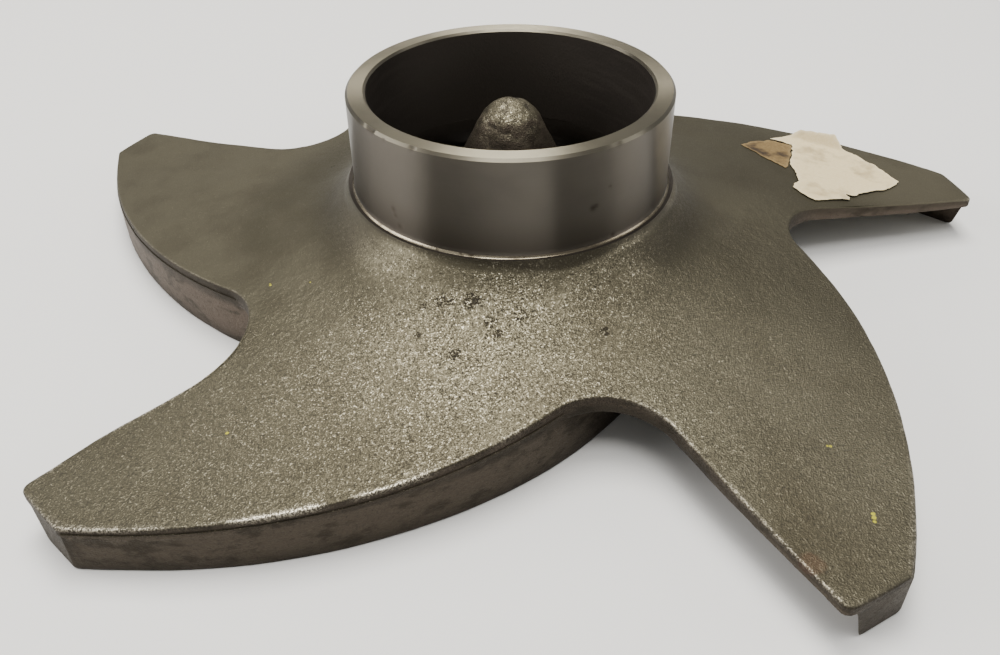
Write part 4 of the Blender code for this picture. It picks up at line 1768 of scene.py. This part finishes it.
    def hub(self) -> bpy.types.Object:
        """Nose and hub."""
        ball, center, flank = self.nose_ball, self.nose_top - self.nose_ball, self.nose_flank
        section: list[Point] = [(0.0, self.nose_top)]
        for i in range(1, self.nose_rows + 1):
            angle = math.pi / 2 - (math.pi / 2 - flank) * i / self.nose_rows
            section.append((ball * math.cos(angle), center + ball * math.sin(angle)))
        touch, height = section[-1]
        spread = self.hub_neck_radius - touch
        for i in range(1, self.flank_rows + 1):
            share = (i / self.flank_rows) ** self.flank_grading
            section.append((touch + spread * share, height - spread / math.tan(flank) * share))
        for i in range(1, self.hub_rows + 1):
            share = i / self.hub_rows
            low = self.hub_shoulder * (1 - share) + self.hub_lean * share
            section.append((self.hub_radius - self.hub_lean * (1 - share), low))
        section += [(self.hub_radius - self.hub_round, self.hub_round), (self.hub_radius - self.hub_lean, 0.0),
                    (self.bore_radius + self.hub_ring, 0.0), (0.0, 0.0)]
        return lathe_solid("hub", [(r, self.shape.level(h)) for r, h in section], self.hub_sides)

    def bore(self) -> bpy.types.Object:
        """Cutter for the blind shaft bore."""
        depth, radius, chamfer = self.shape.bore_depth, self.bore_radius, self.bore_chamfer
        section = [(0.0, depth), (radius, depth), (radius, chamfer), (radius + chamfer, 0.0),
                   (radius + chamfer, -self.bore_overcut), (0.0, -self.bore_overcut)]
        return lathe_solid("bore", [(r, self.shape.level(h)) for r, h in section], self.bore_sides)

    def roughen(self, skin: bpy.types.Object) -> None:
        """Give the cast faces their lumps, and every point its masks.

        Args:
            skin: The joined casting.
        """
        at = SkinPoints(self.shape, rows_of(skin.data.vertices, "co"), rows_of(skin.data.vertex_normals, "vector"))
        put_points(skin, self.wear.lumpy(at))
        for mask, values in self.wear.masks(at).items():
            put_mask(skin, mask, values)

    def finish_of_faces(self, skin: bpy.types.Object) -> np.ndarray:
        """Number of each face's finish: 0 cast skin, 1 turned steel, 2 eye skin.

        Args:
            skin: The joined casting.

        Returns:
            The numbers.
        """
        centers = rows_of(skin.data.polygons, "center")
        radius = np.hypot(centers[:, 0], centers[:, 1])
        height = centers[:, 2] + self.shape.bore_depth
        in_bore = radius < self.bore_radius + self.side_slack
        in_bore &= height < self.shape.bore_depth + self.end_slack
        in_eye = (radius > self.eye_skin_radius[0]) & (radius < self.eye_skin_radius[1])
        in_eye &= (height > self.eye_skin_bottom) & (height < self.shape.top(radius) - self.eye_skin_gap)
        return np.where(in_eye, 2, np.where((height < self.back_slack) | in_bore, 1, 0))

    def build(self, finishes: Sequence[bpy.types.Material]) -> bpy.types.Object:
        """Make the casting and give it its finishes.

        Args:
            finishes: Cast skin, turned steel and eye skin.

        Returns:
            The casting's object.
        """
        skin = self.plate()
        for arm in range(self.shape.arms):
            combine(skin, self.vane(arm), Join.UNION)
        combine(skin, self.hub(), Join.UNION)
        combine(skin, self.bore(), Join.DIFFERENCE)
        self.roughen(skin)
        skin.data.materials.clear()
        for finish in finishes:
            skin.data.materials.append(finish)
        skin.data.polygons.foreach_set("material_index", self.finish_of_faces(skin))
        soften(skin, self.sharp_angle)
        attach(skin, BODY)
        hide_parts("impeller_casting")
        return skin


@dataclass
class SuctionNeck:
    """The turned ring round the suction eye, which stands on the casting's foot.

    Bearings are in degrees from +X, and nicks in millimetres.
    """

    angles: np.ndarray
    radius: float = 49.7 * MM
    eye_radius: float = 43.7 * MM
    rim: float = 68.5 * MM
    outer_chamfer: float = 0.8 * MM
    inner_chamfer: float = 0.7 * MM
    foot_radius: float = 51.7 * MM
    foot: float = 37.7 * MM
    fillet: float = 2.0 * MM
    throat_top: float = 37.0 * MM
    base: float = 38.0 * MM
    eye_rows: int = 26
    rim_rows: int = 8
    wall_rows: int = 44
    fillet_rows: int = 6
    chamfer_steps: tuple[float, ...] = (0.35, 0.7, 1.0)
    outer_start: float = 48.5 * MM
    dent_drop: float = 0.6 * MM
    dent_width: float = 0.7 * MM
    dent_lumps: tuple[Layer, ...] = ((11, 2.6 * MM, 1.0),)
    dent_span: Span = (0.25, 0.65)
    dent_depth: float = 0.30 * MM
    knocked: tuple[Hump, ...] = ((-143.0, 15.0), (-40.0, 22.0))
    unknocked_share: float = 0.10
    nicks: tuple[Spot, ...] = (
        (-39.8, -29.7, 8.2, 1.0), (-39.4, -30.2, 6.4, 0.8), (-38.5, -31.4, 3.4, 0.9), (14.1, -47.7, 12.7, 0.9),
        (15.0, -47.4, 13.1, 0.6), (21.1, -45.0, 1.6, 0.7), (19.0, -45.9, 18.0, 0.5),
    )
    nick_depth: float = 0.10 * MM
    nick_height: Span = (38.5 * MM, 41.0 * MM)
    mark_share: float = 0.9
    rubbed: Hump = (-122.0, 20.0)
    near_bearing: float = -104.0
    side_turn: Span = (50.0, 75.0)
    side_share: float = 0.4
    rubbed_part: float = 0.6
    wall_slack: float = 0.05 * MM
    sharp_angle: float = 30.0

    def section(self) -> list[Point]:
        """Radius and height of the turned section, from the throat up the eye's wall, over the rim and down."""
        inner, outer = self.eye_radius + self.inner_chamfer, self.radius - self.outer_chamfer
        low = self.foot + self.fillet
        eye_wall = np.linspace(self.throat_top, self.rim - self.inner_chamfer, self.eye_rows)
        points = [(self.eye_radius, h) for h in eye_wall]
        for share in self.chamfer_steps:
            rise = self.inner_chamfer * (1 - share)
            points.append((self.eye_radius + self.inner_chamfer * share, self.rim - rise))
        points += [(r, self.rim) for r in np.linspace(inner, outer, self.rim_rows)[1:]]
        for share in self.chamfer_steps:
            points.append((outer + self.outer_chamfer * share, self.rim - self.outer_chamfer * share))
        outer_wall = np.linspace(self.rim - self.outer_chamfer, low, self.wall_rows)
        points += [(self.radius, h) for h in outer_wall[1:]]
        for i in range(1, self.fillet_rows + 1):
            angle = math.pi / 2 * i / self.fillet_rows
            spread = (self.foot_radius - self.radius) * math.cos(angle)
            points.append((self.foot_radius - spread, low - self.fillet * math.sin(angle)))
        return points

    def knock(self, neck: bpy.types.Object) -> None:
        """Dent the rim, nick the wall, and give every point its masks.

        Args:
            neck: The neck's object.
        """
        points, normals = rows_of(neck.data.vertices, "co"), rows_of(neck.data.vertex_normals, "vector")
        height = points[:, 2] + self.base
        bearing = np.degrees(np.arctan2(points[:, 1], points[:, 0]))
        outer = np.hypot(points[:, 0], points[:, 1]) > self.outer_start
        rim_edge = outer * bell(height, self.rim - self.dent_drop, self.dent_width)
        knocked = np.max([bell(bearing, *place) for place in self.knocked], axis=0)
        dents = smooth(layered(points, self.dent_lumps), *self.dent_span) * rim_edge
        dents *= self.unknocked_share + (1 - self.unknocked_share) * knocked
        scars = np.zeros(len(points))
        for x, y, z, reach in self.nicks:
            away = np.linalg.norm(points - np.array((x, y, z)) * MM, axis=1)
            scars = np.maximum(scars, bell(away, 0.0, reach * MM))
        depth = (self.dent_depth * dents + self.nick_depth * scars) * smooth(height, *self.nick_height)
        put_points(neck, points - normals * depth[:, None])
        put_mask(neck, Mask.KNOCK, self.mark_share * np.maximum(dents, scars))
        # Painted highlight on the fillet: brighter at one bearing and towards the sides as seen from the camera.
        sides = self.side_share * smooth(np.abs(bearing - self.near_bearing), *self.side_turn)
        put_mask(neck, Mask.RUB_AND_HIGHLIGHT, np.maximum(bell(bearing, *self.rubbed), sides))

    def finish_of_faces(self, neck: bpy.types.Object) -> np.ndarray:
        """Number of each face's finish: 0 turned steel, 1 eye skin, 2 rubbed edge with painted highlight.

        Args:
            neck: The neck's object.

        Returns:
            The numbers.
        """
        centers = rows_of(neck.data.polygons, "center")
        radius = np.hypot(centers[:, 0], centers[:, 1])
        fillet = (radius > self.radius) & (centers[:, 2] + self.base < self.foot + self.rubbed_part * self.fillet)
        return np.where(fillet, 2, np.where(radius < self.eye_radius + self.wall_slack, 1, 0))

    def build(self, finishes: Sequence[bpy.types.Material]) -> bpy.types.Object:
        """Make the neck, knock its edges and give it its finishes.

        Args:
            finishes: Turned steel, eye skin and rubbed edge with painted highlight.

        Returns:
            The neck's object.
        """
        unit = np.stack([np.cos(self.angles), np.sin(self.angles)], axis=1)
        rings = [np.column_stack([unit * r, np.full(len(unit), h - self.base)]) for r, h in self.section()]
        neck = ring_solid("suction_neck", np.array(rings))
        self.knock(neck)
        neck.data.materials.clear()
        for finish in finishes:
            neck.data.materials.append(finish)
        neck.data.polygons.foreach_set("material_index", self.finish_of_faces(neck))
        soften(neck, self.sharp_angle)
        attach(neck, BODY)
        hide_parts("impeller_casting")
        return neck


@dataclass
class PaperPiece:
    """A torn piece of paper stuck to the labelled arm.

    Attributes:
        node: Name of the solid that the paper stands for.
        outline: X and Y of its corners, in millimetres.
        ground: The casting's skin, on which it lies.
        tear_waves: Wavelength and strength of each layer of its torn rim.
        curl: Height of its curled corner.
        off_edge: Z where nothing is under the paper.
    """

    name: str
    node: str
    slot: Slot
    outline: Sequence[Point]
    ground: BVHTree
    thickness: float = 0.18 * MM
    gap: float = 0.12 * MM
    waviness: float = 0.12 * MM
    fold_stretch: Stretch = (1.0, 2.2, 1.0)
    fold_wavelength: float = 9 * MM
    tear: float = 0.7 * MM
    tear_step: float = 0.8 * MM
    tear_waves: tuple[Point, ...] = ((2.6 * MM, 0.6), (1.0 * MM, 0.4))
    spacing: float = 1.3 * MM
    rim_margin: float = 0.45
    rim_width: float = 1.1 * MM
    seed: int = 21
    curl: float = 0.0
    curl_way: Point = (0.632, 0.776)
    curl_start: float = 107.8 * MM
    curl_width: float = 6.8 * MM
    fold_shade_width: float = 1.6 * MM
    sky_height: float = 50 * MM
    off_edge: float = -19 * MM
    sharp_angle: float = 50.0

    def torn_outline(self) -> np.ndarray:
        """The outline in metres, with a fine uneven tear along it."""
        corners = np.array(self.outline) * MM
        points = []
        for first, second in zip(corners, np.roll(corners, -1, axis=0)):
            count = max(int(np.linalg.norm(second - first) / self.tear_step), 1)
            points += [first + (second - first) * i / count for i in range(count)]
        flat = np.array(points)
        place = np.column_stack([flat, np.zeros(len(flat))])
        layers = [(self.seed + i, wavelength, share) for i, (wavelength, share) in enumerate(self.tear_waves)]
        shift = self.tear * layered(place, layers)
        return flat + (inset(flat, 1.0) - flat) * shift[:, None]

    def surface(self, x: float, y: float) -> float:
        """Z of the casting under a place."""
        hit = self.ground.ray_cast(Vector((x, y, self.sky_height)), Vector((0.0, 0.0, -1.0)))
        return hit[0].z if hit[0] is not None else self.off_edge

    def lift(self, flat: np.ndarray) -> np.ndarray:
        """How far the paper stands off the casting at each place, with its creases and its curled corner.

        Args:
            flat: Rows of x and y.

        Returns:
            The heights.
        """
        place = np.column_stack([flat, np.zeros(len(flat))])
        folds = 1 + Lumps(self.seed + 2).at(place * np.array(self.fold_stretch), self.fold_wavelength)
        return self.gap + self.waviness * folds + self.curl * self.curled(flat, self.curl_width)

    def curled(self, flat: np.ndarray, width: float) -> np.ndarray:
        """Smooth step from 0 at the start of the curled strip to 1 at a distance past it."""
        return smooth(flat @ np.array(self.curl_way), self.curl_start, self.curl_start + width)

    def sheet(self, rim: np.ndarray) -> tuple[np.ndarray, list[list[int]]]:
        """Flat mesh inside an outline.

        Args:
            rim: The outline's points.

        Returns:
            The mesh's points and its faces.
        """
        low, high = rim.min(axis=0), rim.max(axis=0)
        grid = np.array([(x, y) for x in np.arange(low[0], high[0], self.spacing)
                         for y in np.arange(low[1], high[1], self.spacing)])
        grid = grid[nearest(grid, rim) > self.rim_margin * self.spacing]
        places = [Vector(place) for place in np.concatenate([rim, grid])]
        inside, merging = 1, 1e-7
        made = delaunay_2d_cdt(places, [], [list(range(len(rim)))], inside, merging)
        return np.array([tuple(place) for place in made[0]]), made[2]

    def build(self, finish: bpy.types.Material) -> bpy.types.Object:
        """Make the paper and give it its finish.

        Args:
            finish: The paper's material.

        Returns:
            The paper's object.
        """
        rim = self.torn_outline()
        flat, faces = self.sheet(rim)
        z = np.array([self.surface(x, y) for x, y in flat]) + self.lift(flat)
        points = np.concatenate([np.column_stack([flat, z]), np.column_stack([flat, z + self.thickness])])
        piece = mesh_object(self.name, points, thickened(faces, len(flat)))
        put_mask(piece, Mask.RIM, np.tile(1 - smooth(nearest(flat, rim), 0.0, self.rim_width), 2))
        # Mask of the curled strip, for its painted shade.
        fold_shade = self.curled(flat, self.fold_shade_width) if self.curl else np.zeros(len(flat))
        put_mask(piece, Mask.CURL, np.tile(fold_shade, 2))
        piece.data.materials.append(finish)
        soften(piece, self.sharp_angle)
        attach(piece, BODY)
        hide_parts(self.node)
        return piece


@dataclass(frozen=True)
class Lamp:
    """A soft area light that faces the impeller.

    Attributes:
        azimuth: Direction of the light from the impeller, in degrees from +X.
        elevation: Its angle above the floor, in degrees.
        size: Its width and height.
        power: Its power in watts.
        distance: Its distance from the impeller.
    """

    name: str
    azimuth: float
    elevation: float
    size: Point
    power: float
    colour: Colour
    distance: float = 1.3

    def build(self) -> None:
        """Make the light."""
        data = bpy.data.lights.new(self.name, "AREA")
        data.shape = "RECTANGLE"
        data.size, data.size_y = self.size
        data.energy = self.power
        data.color = self.colour
        light = bpy.data.objects.new(self.name, data)
        bpy.context.scene.collection.objects.link(light)
        azimuth, elevation = math.radians(self.azimuth), math.radians(self.elevation)
        way = Vector((math.cos(azimuth) * math.cos(elevation), math.sin(azimuth) * math.cos(elevation),
                      math.sin(elevation)))
        light.location = way * self.distance
        light.rotation_mode = "QUATERNION"
        light.rotation_quaternion = (-way).to_track_quat("-Z", "Y")


@dataclass
class Studio:
    """Pale floor, soft lights and the camera of the photograph."""

    floor_z: float = -38.0 * MM
    floor_half: float = 3.0
    sky_colour: Colour = (1.0, 0.985, 0.96)
    sky_strength: float = 0.29
    lamps: tuple[Lamp, ...] = (
        Lamp("overhead", 85.0, 76.0, size=(0.66, 0.76), power=21.0, colour=(1.0, 0.97, 0.91)),
        Lamp("over_front", -100.0, 73.0, size=(0.70, 0.50), power=9.0, colour=(1.0, 0.98, 0.94)),
        Lamp("behind_camera", -92.0, 20.0, size=(0.90, 0.50), power=0.55, colour=(1.0, 0.97, 0.93)),
        Lamp("low_back", 80.0, 26.0, size=(0.22, 0.12), power=1.5, colour=(1.0, 0.92, 0.78), distance=1.4),
        Lamp("left_panel", 172.0, 24.0, size=(1.10, 0.55), power=12.0, colour=(1.0, 0.97, 0.94)),
        Lamp("right_panel", -15.0, 20.0, size=(0.55, 0.50), power=3.4, colour=(1.0, 0.98, 0.95)),
    )
    camera_place: tuple[float, float, float] = (-0.05048, -0.26320, 0.14547)
    yaw: float = math.radians(-0.845)
    pitch: float = math.radians(37.937)
    roll: float = math.radians(-0.706)
    frame_turn: float = math.radians(-10.858)
    lens: float = 33.62
    sensor: float = 36.0
    clip_start: float = 10 * MM

    def floor(self, finish: bpy.types.Material) -> None:
        """Make the floor on which the impeller lies.

        Args:
            finish: The floor's material.
        """
        half, z = self.floor_half, self.floor_z
        corners = np.array([(-half, -half, z), (half, -half, z), (half, half, z), (-half, half, z)])
        floor = mesh_object("studio_floor", corners, [(0, 1, 2, 3)])
        floor.data.materials.append(finish)

    def camera(self) -> None:
        """Make the camera, at the photograph's place and angle."""
        yaw, pitch = self.yaw, self.pitch
        forward = Vector((math.sin(yaw) * math.cos(pitch), math.cos(yaw) * math.cos(pitch), -math.sin(pitch)))
        level_right = Vector((math.cos(yaw), -math.sin(yaw), 0.0))
        level_up = level_right.cross(forward)
        right = level_right * math.cos(self.roll) + level_up * math.sin(self.roll)
        up = level_up * math.cos(self.roll) - level_right * math.sin(self.roll)
        axes = Matrix((right, up, -forward)).transposed()
        turn = Matrix.Rotation(self.frame_turn, 3, "Z")
        data = bpy.data.cameras.new("photo_camera")
        data.lens = self.lens
        data.sensor_width = self.sensor
        data.clip_start = self.clip_start
        camera = bpy.data.objects.new("photo_camera", data)
        bpy.context.scene.collection.objects.link(camera)
        camera.matrix_world = Matrix.Translation(self.camera_place) @ (turn @ axes).to_4x4()
        bpy.context.scene.camera = camera

    def build(self, finish: bpy.types.Material) -> None:
        """Make the floor, the sky, the lights and the camera.

        Args:
            finish: The floor's material.
        """
        self.floor(finish)
        world = bpy.data.worlds.new("studio_sky")
        world.use_nodes = True
        sky = world.node_tree.nodes["Background"]
        sky.inputs["Color"].default_value = (*self.sky_colour, 1.0)
        sky.inputs["Strength"].default_value = self.sky_strength
        bpy.context.scene.world = world
        for lamp in self.lamps:
            lamp.build()
        self.camera()


LABEL_OUTLINE: tuple[Point, ...] = (
    (110.1, 41.8), (117.3, 43.7), (123.7, 44.3), (129.1, 41.2), (134.6, 38.3), (134.4, 34.7), (134.9, 31.4),
    (138.4, 26.5), (140.8, 20.1), (142.5, 12.8), (143.4, 4.6), (137.9, 0.2), (129.6, -1.5), (124.3, -2.7),
    (122.0, -4.0), (119.3, -2.6), (118.7, -6.7), (112.6, -5.9), (105.3, -7.0), (103.4, -3.9), (101.8, 2.5),
    (102.7, 4.7), (105.9, 7.0), (107.6, 13.1), (108.2, 19.5), (112.5, 27.9), (117.1, 36.6),
)
KRAFT_OUTLINE: tuple[Point, ...] = (
    (96.3, 37.5), (102.1, 40.2), (109.4, 41.4), (116.5, 36.4), (112.0, 27.8), (107.8, 19.6), (105.6, 17.5),
)


def main() -> None:
    """Build every sub-assembly in order, and report each piece."""
    logging.basicConfig(level=logging.INFO, format="%(name)s: %(message)s")
    cast, turned_steel, eye = CastSkin().material(), TurnedSteel().material(), EyeSkin().material()
    cream = Paper(
        "cream_paper_finish", ground=(0.74, 0.61, 0.345), grime_and_shade=(0.25, 0.18, 0.09), fibre=(0.84, 0.75, 0.52),
        grime_share=0.55,
    ).material()
    brown = Paper(
        "brown_paper_finish", ground=(0.160, 0.104, 0.038), grime_and_shade=(0.030, 0.017, 0.007), fibre=(0.30, 0.21, 0.095),
        grime_share=1.3,
    ).material()

    casting = Casting()
    skin = casting.build([cast, turned_steel, eye])
    neck = SuctionNeck(casting.fan(casting.shape.outline())).build([turned_steel, eye, RubAndHighlightEdge().material()])
    ground = BVHTree.FromObject(skin, bpy.context.evaluated_depsgraph_get())
    label = PaperPiece(
        "torn_label", "paper_label", Slot.CREAM, LABEL_OUTLINE, ground, gap=0.3 * MM, waviness=0.16 * MM,
        curl=3.2 * MM,
    ).build(cream)
    flap = PaperPiece(
        "kraft_backing", "kraft_flap", Slot.BROWN, KRAFT_OUTLINE, ground, gap=0.06 * MM, waviness=0.05 * MM,
        seed=31,
    ).build(brown)
    Studio().build(PaleFloor().material())
    for piece in (skin, neck, label, flap):
        LOG.info("%s: %d faces", piece.name, len(piece.data.polygons))


if __name__ == "__main__":
    main()
